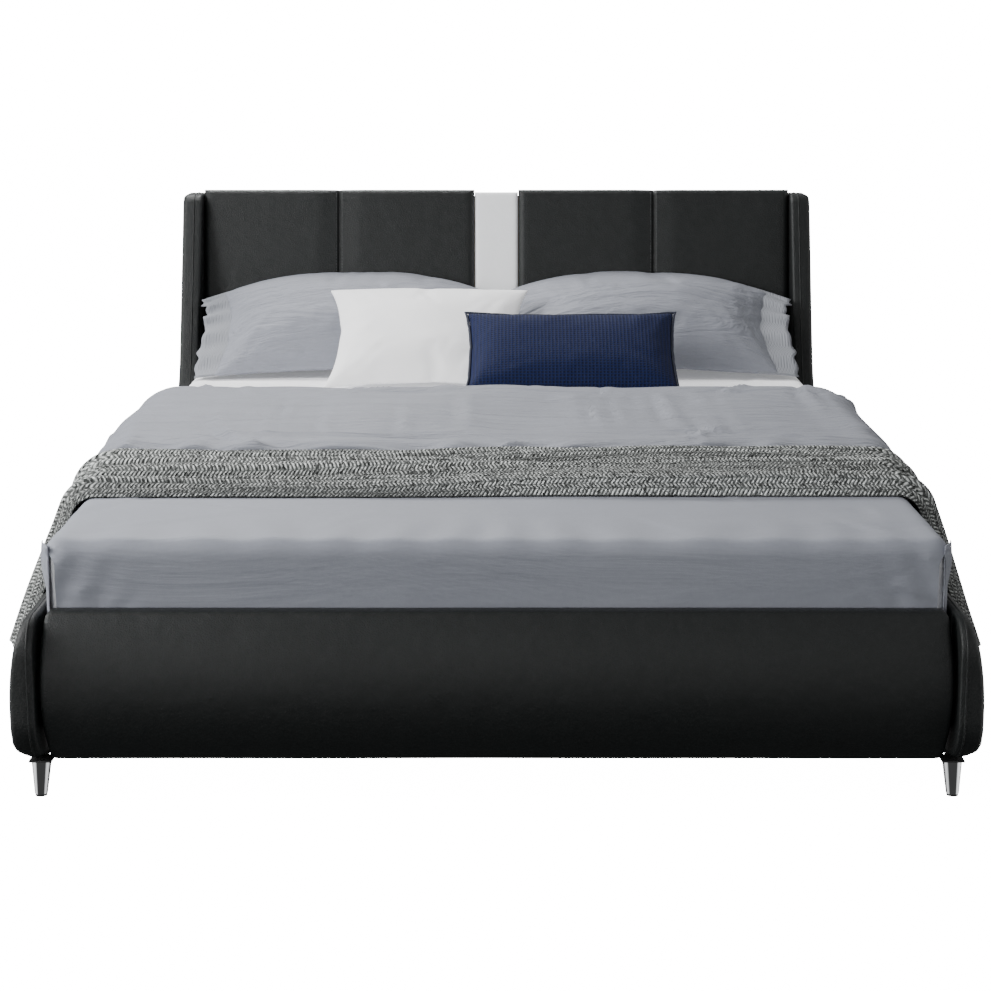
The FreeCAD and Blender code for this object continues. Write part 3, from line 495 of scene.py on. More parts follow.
def stitch_tree(material):
    """Topstitching: a short thread lies along a line every few millimetres."""
    tree, given, result = node_group("topstitch", {"Pitch": 0.008, "Length": 0.0056, "Radius": 0.0007})
    line = wire(tree, "GeometryNodeMeshToCurve", {"Mesh": given.outputs["Geometry"]})
    spots = wire(tree, "GeometryNodeCurveToPoints", {"Curve": line.outputs[0],
                                                     "Length": given.outputs["Pitch"]}, mode="LENGTH")
    thread = wire(tree, "GeometryNodeMeshCylinder", {"Radius": given.outputs["Radius"],
                                                     "Depth": given.outputs["Length"]}, Vertices=6)
    laid = wire(tree, "GeometryNodeInstanceOnPoints", {"Points": spots.outputs["Points"],
                                                       "Instance": thread.outputs["Mesh"],
                                                       "Rotation": spots.outputs["Rotation"]})
    whole = wire(tree, "GeometryNodeRealizeInstances", {0: laid.outputs[0]})
    coloured = wire(tree, "GeometryNodeSetMaterial", {"Geometry": whole.outputs[0]}, Material=material)
    tree.links.new(coloured.outputs[0], result.inputs[0])
    return tree


topstitch = stitch_tree(black_thread)


def pad_out(x, up, inside, hand):
    """How far the pad's face stands out: crowned panels, a pulled-in seam and rounded edges."""
    off_seam = x - pad_seam
    crown = 0.0045 * (1 - np.cos(np.clip(np.abs(off_seam) / 0.06, 0, 1) * math.pi)) / 2
    valley = 0.0065 * np.exp(-(off_seam / 0.0045) ** 2)
    gathers = np.sin(up * 2 * math.pi / 0.021 + 2 * np.sin(up * 40) + hand)
    pucker = 0.0013 * np.exp(-(off_seam / 0.018) ** 2) * gathers
    swell = ripple(x, up, 31 + hand, 0.10, 0.0016)
    return pad_deep - 0.0030 + crown - valley + pucker + swell - 0.016 * (1 - eased(inside, 0.016))


for hand_name, hand in (("left", -1), ("right", 1)):
    first = steps_between(pad_near, pad_seam - 0.020, 0.016, 26)
    fine = np.linspace(pad_seam - 0.018, pad_seam + 0.018, 19)
    x = np.concatenate([first[:-5], fine, (2 * pad_seam - first[:-5])[::-1]])
    up = steps_between(0, pad_tall, 0.016, 60)
    grid = np.stack(np.meshgrid(x, up), axis=2)
    outline = np.array([(pad_near, 0), (pad_far, 0), (pad_far, pad_tall), (pad_near, pad_tall)])
    inside = rim_distance(grid.reshape(-1, 2), outline).reshape(grid.shape[:2])
    out = pad_out(grid[..., 0], grid[..., 1], inside, hand)
    pad = two_faced(f"headboard_upholstery_{hand_name}", grid, out, np.zeros(out.shape),
                    lambda a, b, h, hand=hand: leaned(hand * a, b, h))
    dress(pad, black_leatherette, "frame", [f"headboard_pad_{hand_name}"])
    for side in (-1, 1):
        x_line = pad_seam + side * 0.0075
        rows = np.linspace(0.012, pad_tall - 0.012, 80)
        height = pad_out(np.full(rows.shape, x_line), rows, np.minimum(rows, pad_tall - rows), hand)
        run = [leaned(hand * x_line, u, h + 0.0002) for u, h in zip(rows, height)]
        name = f"headboard_stitching_{hand_name}_{'inner' if side < 0 else 'outer'}"
        stitching = use_group(line_piece(name, run), topstitch, name)
        dress(stitching, black_thread, "frame")

# ------------------------------------------------------------------ centre strip
# A narrow padded panel in white leatherette stands between the two pads, a little lower and set back.
white_leatherette = grained_leather("white_leatherette", (0.90, 0.91, 0.93), (0.94, 0.95, 0.96), 0.42, 0.2)
# Painted glow: a faint emission brightens the white leatherette beyond what the lamps give.
white_glow = next(n for n in white_leatherette.node_tree.nodes if n.type == "BSDF_PRINCIPLED")
white_glow.inputs["Emission Color"].default_value = (0.95, 0.97, 1, 1)
white_glow.inputs["Emission Strength"].default_value = 0.14
_, strip_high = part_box("headboard_centre_strip")
strip_half = strip_high[0]
strip_tall = pad_tall - 0.006
x = steps_between(-strip_half, strip_half, 0.008, 14)
up = steps_between(0, strip_tall, 0.010, 40)
grid = np.stack(np.meshgrid(x, up), axis=2)
outline = np.array([(-strip_half, 0), (strip_half, 0), (strip_half, strip_tall), (-strip_half, strip_tall)])
inside = rim_distance(grid.reshape(-1, 2), outline).reshape(grid.shape[:2])
out = 0.037 + ripple(grid[..., 0], grid[..., 1], 41, 0.1, 0.0006) - 0.009 * (1 - eased(inside, 0.010))
strip = two_faced("centre_strip_upholstery", grid, out, np.zeros(out.shape), leaned)
dress(strip, white_leatherette, "frame", ["headboard_centre_strip"])

# ------------------------------------------------------------------ mattress
# A foam mattress in quilted ticking, with rounded edges and a taped seam round its top and bottom.


def woven_cloth(name, colour, second, rough, pitch, bump, velvet=0.06, painted_glow=0.0,
                drawn=None, depth=1.0):
    """Plain woven cotton: crossing threads, slow changes of tone, a faint nap and an optional painted glow.
    """
    made, tree, shader = node_material(name, rough)
    place = wire(tree, "ShaderNodeTexCoord").outputs["Object"]
    axes = wire(tree, "ShaderNodeSeparateXYZ", {0: place})
    down = wire(tree, "ShaderNodeMath", {0: axes.outputs["Y"], 1: axes.outputs["Z"]}, operation="SUBTRACT")
    waves = []
    for source in (axes.outputs["X"], down.outputs[0]):
        turn = wire(tree, "ShaderNodeMath", {0: source}, operation="MULTIPLY")
        turn.inputs[1].default_value = 2 * math.pi / pitch
        waves.append(wire(tree, "ShaderNodeMath", {0: turn.outputs[0]}, operation="SINE"))
    weave = wire(tree, "ShaderNodeMath", {0: waves[0].outputs[0], 1: waves[1].outputs[0]},
                 operation="MULTIPLY")
    slubs = wire(tree, "ShaderNodeTexNoise", {"Vector": place}, Scale=120.0, Detail=4.0)
    slow = wire(tree, "ShaderNodeTexNoise", {"Vector": place}, Scale=5.0, Detail=3.0)
    share = wire(tree, "ShaderNodeMix", {"Factor": slow.outputs["Fac"]}, data_type="RGBA")
    share.inputs[6].default_value = (*colour, 1)
    share.inputs[7].default_value = (*second, 1)
    speck = wire(tree, "ShaderNodeMix", {6: share.outputs[2], 7: slubs.outputs["Color"]}, data_type="RGBA",
                 blend_type="SOFT_LIGHT")
    speck.inputs["Factor"].default_value = 0.12
    grey = wire(tree, "ShaderNodeRGBToBW", {0: slubs.outputs["Color"]})
    tree.links.new(grey.outputs[0], speck.inputs[7])
    threads = wire(tree, "ShaderNodeBump", {"Height": weave.outputs[0]}, Strength=bump, Distance=0.0004)
    rumple = wire(tree, "ShaderNodeBump", {"Height": slow.outputs["Fac"], "Normal": threads.outputs[0]},
                  Strength=0.2, Distance=0.01)
    if drawn:
        pulled = wire(tree, "ShaderNodeMapping", {"Vector": place})
        pulled.inputs["Scale"].default_value = drawn
        lines = wire(tree, "ShaderNodeTexNoise", {"Vector": pulled.outputs[0]}, Scale=1.0, Detail=5.0,
                     Roughness=0.6, Distortion=0.8)
        rumple = wire(tree, "ShaderNodeBump", {"Height": lines.outputs["Fac"], "Normal": rumple.outputs[0]},
                      Strength=0.55, Distance=0.035 * depth)
    tree.links.new(rumple.outputs[0], shader.inputs["Normal"])
    tree.links.new(speck.outputs[2], shader.inputs["Base Color"])
    shader.inputs["Sheen Weight"].default_value = velvet
    shader.inputs["Sheen Roughness"].default_value = 0.4
    # Painted glow: a faint emission brightens the cloth beyond what the lamps give.
    shader.inputs["Emission Color"].default_value = (0.97, 0.98, 1, 1)
    shader.inputs["Emission Strength"].default_value = painted_glow
    return made


ticking = woven_cloth("mattress_ticking", (0.66, 0.67, 0.70), (0.74, 0.75, 0.77), 0.85, 0.004, 0.5)
mattress_low, mattress_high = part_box("mattress")
half_bed = mattress_high[0]
bed_foot, bed_head = mattress_low[1], mattress_high[1]
bed_base, bed_top = mattress_low[2], mattress_high[2]


def rounded_block(name, low, high, round_radius, steps=5):
    """A block with its twelve edges rounded."""
    work = bmesh.new()
    bmesh.ops.create_cube(work, size=1)
    middle, span = (np.array(low) + high) / 2, np.array(high) - low
    for v in work.verts:
        v.co = Vector(middle + np.array(v.co) * span)
    bmesh.ops.bevel(work, geom=list(work.edges), offset=round_radius, segments=steps, profile=0.5,
                    affect="EDGES")
    mesh = bpy.data.meshes.new(name)
    work.to_mesh(mesh)
    work.free()
    mesh.polygons.foreach_set("use_smooth", [True] * len(mesh.polygons))
    piece = bpy.data.objects.new(name, mesh)
    bpy.context.scene.collection.objects.link(piece)
    return piece


mattress = rounded_block("mattress_foam", mattress_low, mattress_high, 0.026)
dress(mattress, ticking, "mattress", ["mattress"])
tape = welt_tree(ticking)
for label, z in (("upper", bed_top - 0.030), ("lower", bed_base + 0.030)):
    ring = [(-half_bed, bed_foot + 0.03, z), (-half_bed, bed_head - 0.03, z), (-half_bed + 0.03, bed_head, z),
            (half_bed - 0.03, bed_head, z), (half_bed, bed_head - 0.03, z), (half_bed, bed_foot + 0.03, z),
            (half_bed - 0.03, bed_foot, z), (-half_bed + 0.03, bed_foot, z)]
    edge_tape = use_group(line_piece(f"mattress_tape_{label}", ring, True), tape, f"mattress_tape_{label}",
                          Radius=0.0012)
    dress(edge_tape, ticking, "mattress")

# ------------------------------------------------------------------ coverlet and fitted sheet
# The blue-grey coverlet lies over the foot half of the mattress, tucked down its front and sides with the
# front corners folded under. The white fitted sheet shows between the duvet and the pillows.


def over_edge(run, flat, bend):
    """Where a cloth lies after a run along it: how far out it has gone and how far it has dropped."""
    quarter = bend * math.pi / 2
    t = np.clip(run - flat, 0, quarter) / bend
    out = np.minimum(run, flat) + bend * np.sin(t)
    drop = bend * (1 - np.cos(t)) + np.clip(run - flat - quarter, 0, None)
    return out, drop


def creases(a, b, seed, count, box, reach, depth, width=0.006, toward=None):
    """Soft creases in cloth: short ridges with a hollow beside each, at seeded places and angles."""
    rng = np.random.default_rng(seed)
    total = np.zeros(np.shape(a))
    for _ in range(count):
        ca, cb = rng.uniform(box[0], box[1]), rng.uniform(box[2], box[3])
        angle = rng.uniform(0, math.pi)
        if toward is not None:
            angle = math.atan2(toward[1] - cb, toward[0] - ca) + rng.normal(0, 0.25)
        da, db = a - ca, b - cb
        along = da * math.cos(angle) + db * math.sin(angle)
        aside = -da * math.sin(angle) + db * math.cos(angle) + 0.6 * along ** 2 * rng.normal(0, 1.5)
        long, wide = reach * rng.uniform(0.5, 1.2), width * rng.uniform(0.7, 1.5)
        fade = np.exp(-(along / long) ** 2)
        total += depth * rng.uniform(0.4, 1.0) * fade * (np.exp(-(aside / wide) ** 2)
                                                         - 0.8 * np.exp(-((aside - 2 * wide) / wide) ** 2))
    return total


def tucked_cover(name, half, start, end, top, low, seed, fuller=0.0, side_ease=0.0):
    """A cover over the mattress with one tucked end and two tucked sides, left open at the corner between."""
    bend = 0.026
    flat_x, flat_y = half - bend, abs(end - start) - bend
    fall = top - low - bend + bend * math.pi / 2
    u = np.concatenate([np.linspace(-flat_x - fall, -flat_x, 24)[:-1], np.linspace(-flat_x, flat_x, 121),
                        np.linspace(flat_x, flat_x + fall, 24)[1:]])
    v = np.concatenate([np.linspace(0, flat_y, 110)[:-1], np.linspace(flat_y, flat_y + fall, 26)])
    run_x, drop_x = over_edge(np.abs(u), flat_x, bend)
    run_y, drop_y = over_edge(v, flat_y, bend)
    x = np.sign(u)[None, :] * run_x[None, :] * np.ones((len(v), 1))
    y = start + (1 if end > start else -1) * run_y[:, None] * np.ones((1, len(u)))
    z = top - drop_x[None, :] - drop_y[:, None]
    down = np.clip((top - z) / 0.05, 0, 1)
    cross = (drop_x[None, :] > bend * 0.6) & (drop_y[:, None] > bend * 0.6)
    near_corner = np.exp(-((half - np.abs(x)) / 0.10) ** 2)
    folds = np.sin(np.abs(x) * 95 + z * 46 + seed) * 0.0022 * near_corner * (drop_y[:, None] > bend)
    gather = np.clip((top - z - 0.10) / 0.1, 0, 1)
    folds += 0.0030 * gather * ripple(x, z * 0.6, seed + 5, 0.035, 1.0) * (0.15 + 0.85 * near_corner)
    foot_corner = (half - 0.02, low + 0.01)
    folds += creases(np.abs(x) + 0 * z, z, seed + 6, 9, (half - 0.11, half - 0.02, low, low + 0.07), 0.05,
                     0.004, 0.004, foot_corner) * (drop_y[:, None] > bend)
    folds += creases(np.abs(x) + 0 * z, z, seed + 7, 5, (half - 0.06, half, low + 0.05, top - 0.03), 0.04,
                     0.0025, 0.005) * (drop_y[:, None] > bend)
    outward_y = np.sign(end - start) * (folds + ripple(x, z, seed, 0.2, 0.0012) + fuller * down)
    y += outward_y * np.clip(drop_y[:, None] / bend, 0, 1)
    x += np.sign(x) * (np.abs(ripple(y, z * 0.5, seed + 2, 0.09, 0.0012)) + 0.001) * np.clip(
        drop_x[None, :] / bend, 0, 1)
    z += ripple(x, y, seed + 3, 0.11, 0.0011) * (1 - down) + 0.0006
    tight = np.exp(-((np.abs(end - y) - 0.02) / 0.12) ** 2) * (1 - down)
    for way in (-1, 1):
        reach = (0.25, half - 0.02, min(start, end), max(start, end))
        z += (1 - down) * creases(way * x, y, seed + 11 + way, 9, reach, 0.16, 0.0022, 0.010)
    x *= 1 - side_ease * np.clip(drop_y[:, None] / bend, 0, 1) * np.clip((np.abs(x) - half + 0.3) / 0.3, 0, 1)
    z += tight * 0.0016 * np.sin(x * 60 + ripple(x, y, seed + 9, 0.1, 2.0))
    count = len(u)
    points = np.stack([x, y, z], 2).reshape(-1, 3)
    used = ~cross
    faces = []
    for r in range(len(v) - 1):
        for c in range(count - 1):
            if used[r, c] and used[r, c + 1] and used[r + 1, c] and used[r + 1, c + 1]:
                k = r * count + c
                faces.append((k, k + 1, k + count + 1, k + count))
    piece = mesh_piece(name, points, faces)
    work = bmesh.new()
    work.from_mesh(piece.data)
    bmesh.ops.delete(work, geom=[q for q in work.verts if not q.link_faces], context="VERTS")
    bmesh.ops.recalc_face_normals(work, faces=work.faces)
    if sum(f.normal.z for f in work.faces) < 0:
        bmesh.ops.reverse_faces(work, faces=work.faces)
    work.to_mesh(piece.data)
    work.free()
    area = sum(f.area for f in piece.data.polygons)
    return piece, (2 * (flat_x + fall), flat_y + fall), area


def smooth_grey(name, colour, second, drawn, depth=1.0):
    return woven_cloth(name, colour, second, 0.66, 0.0012, 0.18, 0.08, drawn=drawn, depth=depth)


blue_grey = smooth_grey("blue_grey_cotton", (0.235, 0.248, 0.290), (0.270, 0.284, 0.326),
                        (1.6, 5.0, 7.0), 0.35)
cover_low, cover_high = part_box("coverlet")
coverlet, cover_flat, cover_area = tucked_cover(
    "coverlet_cloth", half_bed + 0.003, cover_high[1], bed_foot - 0.003, bed_top + 0.0028, cover_low[2],
    51, 0.001, 0.022)
dress(coverlet, blue_grey, "mattress", ["coverlet"])
for hand_name, hand in (("left", -1), ("right", 1)):
    rows = np.linspace(0, 1, 22)
    z = bed_top - 0.006 - rows * (bed_top - cover_low[2] - 0.012)
    points = []
    for k, share in enumerate((0.0, 0.35, 0.7, 1.0)):
        wave = 0.5 + 0.5 * np.sin(rows * 7 + 0.8)
        out = -0.006 + 0.016 * math.sin(share * math.pi * 0.6) * (0.45 + 0.55 * wave) + 0.001 * k
        back = 0.002 + share * 0.044 + 0.004 * np.sin(rows * 9 + k)
        points += [(hand * (half_bed + o), bed_foot - 0.004 + b, c) for o, b, c in zip(out, back, z)]
    faces = [(c * 22 + r, c * 22 + r + 1, (c + 1) * 22 + r + 1, (c + 1) * 22 + r)
             for c in range(3) for r in range(21)]
    fold = mesh_piece(f"coverlet_corner_fold_{hand_name}", points, faces)
    thick = fold.modifiers.new("cloth", "SOLIDIFY")
    thick.thickness = 0.0015
    fold = evaluated_copy(fold.name, fold)
    outward(fold)
    dress(fold, blue_grey, "mattress")

# The white sheet is given a painted glow, a faint emission that brightens it.
white_cotton = woven_cloth("white_cotton", (0.90, 0.90, 0.92), (0.94, 0.94, 0.95), 0.75, 0.0012, 0.15,
                           painted_glow=0.20)
sheet_low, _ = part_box("fitted_sheet")
fitted, fitted_flat, fitted_area = tucked_cover(
    "fitted_sheet_cloth", half_bed + 0.0016, sheet_low[1], bed_head + 0.0012, bed_top + 0.0012, sheet_low[2],
    61)
dress(fitted, white_cotton, "mattress", ["fitted_sheet"])

# ------------------------------------------------------------------ duvet
# A puffy duvet, folded back into a wide band across the bed. It spreads over both rails, and its two
# layers of cloth are pinched and creased along the fold.
duvet_cotton = smooth_grey("grey_cotton", (0.205, 0.215, 0.250), (0.245, 0.256, 0.293),
                           (2.2, 15.0, 12.0), 1.25)
duvet_low, duvet_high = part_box("duvet")
lie = bed_top + 0.0035


def saddle_path(half_flat, shoulder, slope_out, drop_to):
    """The line a layer follows from the middle of the bed outwards and down past the rail."""
    turn = np.linspace(0, math.pi / 2 * slope_out, 16)
    xs = list(np.linspace(0, half_flat, 60)) + list(half_flat + shoulder * np.sin(turn[1:]))
    zs = [0.0] * 60 + list(-shoulder * (1 - np.cos(turn[1:])))
    steps = 24
    end_x, end_z = xs[-1], zs[-1]
    dx, dz = math.cos(turn[-1]), -math.sin(turn[-1])
    length = (end_z - drop_to) / max(-dz, 1e-6)
    for k in range(1, steps + 1):
        xs.append(end_x + dx * length * k / steps)
        zs.append(end_z + dz * length * k / steps)
    xs, zs = np.array(xs), np.array(zs)
    return np.concatenate([-xs[:0:-1], xs]), np.concatenate([zs[:0:-1], zs])


def path_frame(xs, zs):
    """Outward normals and run lengths of a line."""
    dx, dz = np.gradient(xs), np.gradient(zs)
    size = np.hypot(dx, dz)
    run = np.concatenate([[0], np.cumsum(np.hypot(np.diff(xs), np.diff(zs)))])
    return -dz / size, dx / size, run - run[-1] / 2


xs, zs = saddle_path(0.730, 0.056, 0.70, -0.100)
nx, nz, run = path_frame(xs, zs)
depth = duvet_high[1] - duvet_low[1]
loop = np.linspace(0, 2 * math.pi, 61)[:-1]
points = []
for a, b, ex, ez, s in zip(xs, zs, nx, nz, run):
    hang = max(0.0, abs(a) - 0.73) / 0.13
    end_taper = 0.62 + 0.38 * float(eased(np.array(run[-1] - abs(s)), 0.03))
    half_y = depth / 2 - 0.006 - 0.012 * hang
    middle_y = (duvet_low[1] + duvet_high[1]) / 2 + 0.004 * math.sin(s * 5.1)
    half_t = 0.0185 * end_taper
    cy = np.sign(np.cos(loop)) * np.abs(np.cos(loop)) ** 0.32
    ct = np.sign(np.sin(loop)) * np.abs(np.sin(loop)) ** 0.62
    place_y = middle_y + half_y * cy
    upper = ct > 0
    from_front = place_y - duvet_low[1]
    spot = np.full(len(loop), s)
    billow = ripple(spot, place_y, 71, 0.13, 0.0060) + ripple(spot * 0.5, place_y * 1.6, 72, 0.035, 0.0024)
    pinch = 0.008 * np.exp(-(from_front / 0.05) ** 2) * (np.sin(s * 38 + 1.9 * math.sin(s * 11)) - 0.3)
    second_fold = -0.010 * np.exp(-((from_front - 0.112 - 0.03 * math.sin(s * 2.3)) / 0.014) ** 2)
    folds = 0
    for number, (where, wave, reach, way) in enumerate(((0.20, 1.7, 0.5, 1), (0.30, 2.6, 0.35, -1),
                                                        (0.42, 1.2, 0.6, 1), (0.53, 3.1, 0.4, -1),
                                                        (0.62, 2.0, 0.5, 1), (0.36, 4.0, 0.3, 1))):
        line = where + 0.045 * math.sin(s * wave + number * 2) + 0.05 * way * s
        fade = 0.3 + 0.7 * math.exp(-((s - 0.9 * math.sin(number * 2.4)) / reach) ** 2)
        folds = folds - 0.0110 * fade * np.exp(-((from_front - line) / 0.010) ** 2)
        folds = folds + 0.0075 * fade * np.exp(-((from_front - line - 0.022) / 0.016) ** 2)
    folds = folds + creases(spot, from_front, 75, 60, (-0.95, 0.95, 0.02, 0.78), 0.11, 0.0075, 0.009)
    lift = np.where(upper, billow + pinch + second_fold + folds, 0)
    t = np.where(upper, half_t * (1 + ct) + lift * np.clip(ct * 1.6, 0, 1), half_t * (1 + ct))
    front_curl = 0.004 * np.sin(s * 31 + 2 * math.sin(s * 9)) * (cy < -0.8)
    for y, h in zip(place_y + front_curl, t):
        points.append((a + ex * h, y, lie + b + ez * h))
count = len(loop)
faces = [(i * count + j, i * count + (j + 1) % count, (i + 1) * count + (j + 1) % count, (i + 1) * count + j)
         for i in range(len(xs) - 1) for j in range(count)]
faces += [tuple(range(count)), tuple(range((len(xs) - 1) * count, len(xs) * count))]
duvet = mesh_piece("duvet_quilt", points, faces)
outward(duvet)
dress(duvet, duvet_cotton, "duvet", ["duvet"])

# ------------------------------------------------------------------ knitted throw
# A chunky knitted runner of mixed white, grey and black yarn, bunched into ridges across the bed and
# hanging down outside both rails. The knit is ribs of slanted stitches, raised in the cloth itself.
throw_low, throw_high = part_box("throw_blanket")
knit, knit_tree, knit_shader = node_material("flecked_knit", 0.95)


def knit_maths(operation, first, second=None):
    node = wire(knit_tree, "ShaderNodeMath", operation=operation)
    for socket, value in zip(node.inputs, (first, second)):
        if isinstance(value, (int, float)):
            socket.default_value = value
        elif value is not None:
            knit_tree.links.new(value, socket)
    return node.outputs[0]


knit_uv = wire(knit_tree, "ShaderNodeUVMap", uv_map="knit")
knit_axes = wire(knit_tree, "ShaderNodeSeparateXYZ", {0: knit_uv.outputs[0]})
knit_column = knit_maths("DIVIDE", knit_axes.outputs["Y"], 0.0090)
knit_inside = knit_maths("FRACT", knit_column)
knit_side = knit_maths("SUBTRACT", knit_maths("GREATER_THAN", knit_maths("FRACT", knit_maths(
    "MULTIPLY", knit_column, 0.5)), 0.5), 0.5)
knit_slant = knit_maths("MULTIPLY", knit_maths("MULTIPLY", knit_side, 2.0), knit_inside)
knit_phase = knit_maths("ADD", knit_maths("DIVIDE", knit_axes.outputs["X"], 0.0075), knit_slant)
knit_loop = knit_maths("ADD", knit_maths("MULTIPLY", knit_maths("COSINE", knit_maths(
    "MULTIPLY", knit_phase, 2 * math.pi)), 0.5), 0.5)
knit_rib = knit_maths("SINE", knit_maths("MULTIPLY", knit_inside, math.pi))
knit_height = knit_maths("MULTIPLY", knit_loop, knit_maths("POWER", knit_rib, 0.6))
knit_cells = wire(knit_tree, "ShaderNodeTexVoronoi", {"Vector": knit_uv.outputs[0]}, Scale=330.0)
knit_grey = wire(knit_tree, "ShaderNodeRGBToBW", {0: knit_cells.outputs["Color"]})
yarn = wire(knit_tree, "ShaderNodeValToRGB", {"Fac": knit_grey.outputs[0]})
yarn.color_ramp.interpolation = "EASE"
for stop, (at_stop, shade) in enumerate(((0.18, 0.045), (0.34, 0.30), (0.50, 0.60), (0.64, 0.90))):
    point = yarn.color_ramp.elements[stop] if stop < 2 else yarn.color_ramp.elements.new(at_stop)
    point.position = at_stop
    point.color = (shade * 0.965, shade, shade * 0.975, 1)
# Painted shade: the gaps between loops, where the stitch height is low, are darkened to near black.
knit_gap_shade = wire(knit_tree, "ShaderNodeMapRange", {"Value": knit_height}, From_Max=0.55, To_Min=0.05)
knit_tone = wire(knit_tree, "ShaderNodeMix", {"Factor": knit_gap_shade.outputs[0], 7: yarn.outputs[0]},
                 data_type="RGBA")
knit_tone.inputs[6].default_value = (0.020, 0.024, 0.022, 1)
fuzz = wire(knit_tree, "ShaderNodeTexNoise", {"Vector": knit_uv.outputs[0]}, Scale=700.0, Detail=3.0)
twist = wire(knit_tree, "ShaderNodeBump", {"Height": fuzz.outputs["Fac"]}, Strength=0.5, Distance=0.001)
raised = wire(knit_tree, "ShaderNodeBump", {"Height": knit_height, "Normal": twist.outputs[0]}, Strength=1.0,
              Distance=0.004)
# Painted shade: the valleys between the bunched ridges, low in the 'fold' attribute, are darkened towards
# near black.
knit_fold = wire(knit_tree, "ShaderNodeAttribute", attribute_name="fold")
knit_shade = wire(knit_tree, "ShaderNodeMapRange", {"Value": knit_fold.outputs["Fac"]}, From_Max=0.7,
                  To_Min=0.30)
knit_valley_shade = wire(knit_tree, "ShaderNodeMix", {"Factor": knit_shade.outputs[0], 7: knit_tone.outputs[2]},
                 data_type="RGBA")
knit_valley_shade.inputs[6].default_value = (0.012, 0.014, 0.013, 1)
knit_tree.links.new(knit_valley_shade.outputs[2], knit_shader.inputs["Base Color"])
knit_tree.links.new(raised.outputs[0], knit_shader.inputs["Normal"])
knit_shader.inputs["Sheen Weight"].default_value = 0.12

xs, zs = saddle_path(0.728, 0.042, 0.772, throw_low[2] - 0.014 - lie)
_, _, run = path_frame(xs, zs)
spots = np.linspace(run[0], run[-1], 600)
xs, zs = np.interp(spots, run, xs), np.interp(spots, run, zs)
nx, nz, run = path_frame(xs, zs)
rows = 140
wide = np.linspace(0, 1, rows)
throw_depth = throw_high[1] - throw_low[1]
s_grid = np.repeat(run[:, None], rows, 1)
w_grid = np.repeat(wide[None, :], len(run), 0)
hang = np.clip((np.abs(s_grid) - 0.74) / 0.30, 0, 1)
drift = 0.050 * np.sin(s_grid * 2.1 + 0.6) + 0.022 * np.sin(s_grid * 5.3)
ridges = np.abs(np.sin((w_grid * 3.9 + drift * 4.5 + 0.05) * math.pi)) ** 0.62
ridges *= 0.78 + 0.22 * np.sin(s_grid * 3.7 + np.floor(w_grid * 3.9 + drift * 4.5) * 2.1)
fine = 0.5 + 0.5 * np.sin((w_grid * 9.5 + 0.2 * np.sin(s_grid * 7 + 4 * w_grid)) * 2 * math.pi)
edges = np.sin(np.clip(np.minimum(w_grid, 1 - w_grid) / 0.06, 0, 1) * math.pi / 2)
lift = 0.0025 + (0.036 * ridges + 0.005 * fine) * edges * (1 - 0.15 * hang) + 0.004 * hang
lift += np.abs(ripple(s_grid, w_grid * 0.35, 81, 0.08, 0.003)) * edges
y = throw_low[1] + 0.004 + w_grid * (throw_depth - 0.008)
y += 0.005 * np.sin((w_grid * 3.9 + drift * 4.5) * 2 * math.pi) * edges
y = throw_low[1] + (y - throw_low[1]) * (1 - 0.04 * hang) + 0.004 * np.sin(s_grid * 12 + w_grid * 5) * edges
y += (0.007 * np.sin(s_grid * 3.1 + 0.4) + 0.003 * np.sin(s_grid * 9.7)) * (1 - w_grid)
pace = np.concatenate([[0], np.cumsum(np.hypot(np.diff(y[300]), np.diff(lift[300])))])
t_grid = np.repeat(pace[None, :], len(run), 0)
lift += 0.0030 * np.abs(np.sin(t_grid / 0.0090 * math.pi)) ** 0.7
x = xs[:, None] + nx[:, None] * lift
z = lie + zs[:, None] + nz[:, None] * lift
points = np.stack([x, y, z], 2).reshape(-1, 3)
faces = [(i * rows + j, (i + 1) * rows + j, (i + 1) * rows + j + 1, i * rows + j + 1)
         for i in range(len(run) - 1) for j in range(rows - 1)]
throw = mesh_piece("throw_knit", points, faces)
uv = throw.data.uv_layers.new(name="knit")
corner_of = np.empty(len(throw.data.loops), dtype=int)
throw.data.loops.foreach_get("vertex_index", corner_of)
flat_uv = np.stack([s_grid, t_grid], 2).reshape(-1, 2)[corner_of]
uv.data.foreach_set("uv", flat_uv.ravel())
# The ridge height is stored as 'fold' to drive the painted shade in the valleys.
fold = throw.data.attributes.new("fold", "FLOAT", "POINT")
fold.data.foreach_set("value", np.clip(ridges * (0.6 + 0.4 * fine), 0, 1).ravel())
dress(throw, knit, "throw", ["throw_blanket"])

# ------------------------------------------------------------------ pillows and cushions
# Each is two layers of cloth sewn round their edge and stuffed: full in the middle, pinched at the seam,
# with its corners drawn out to points. They lean back on each other and on the headboard.


cloth_cell = 0.012


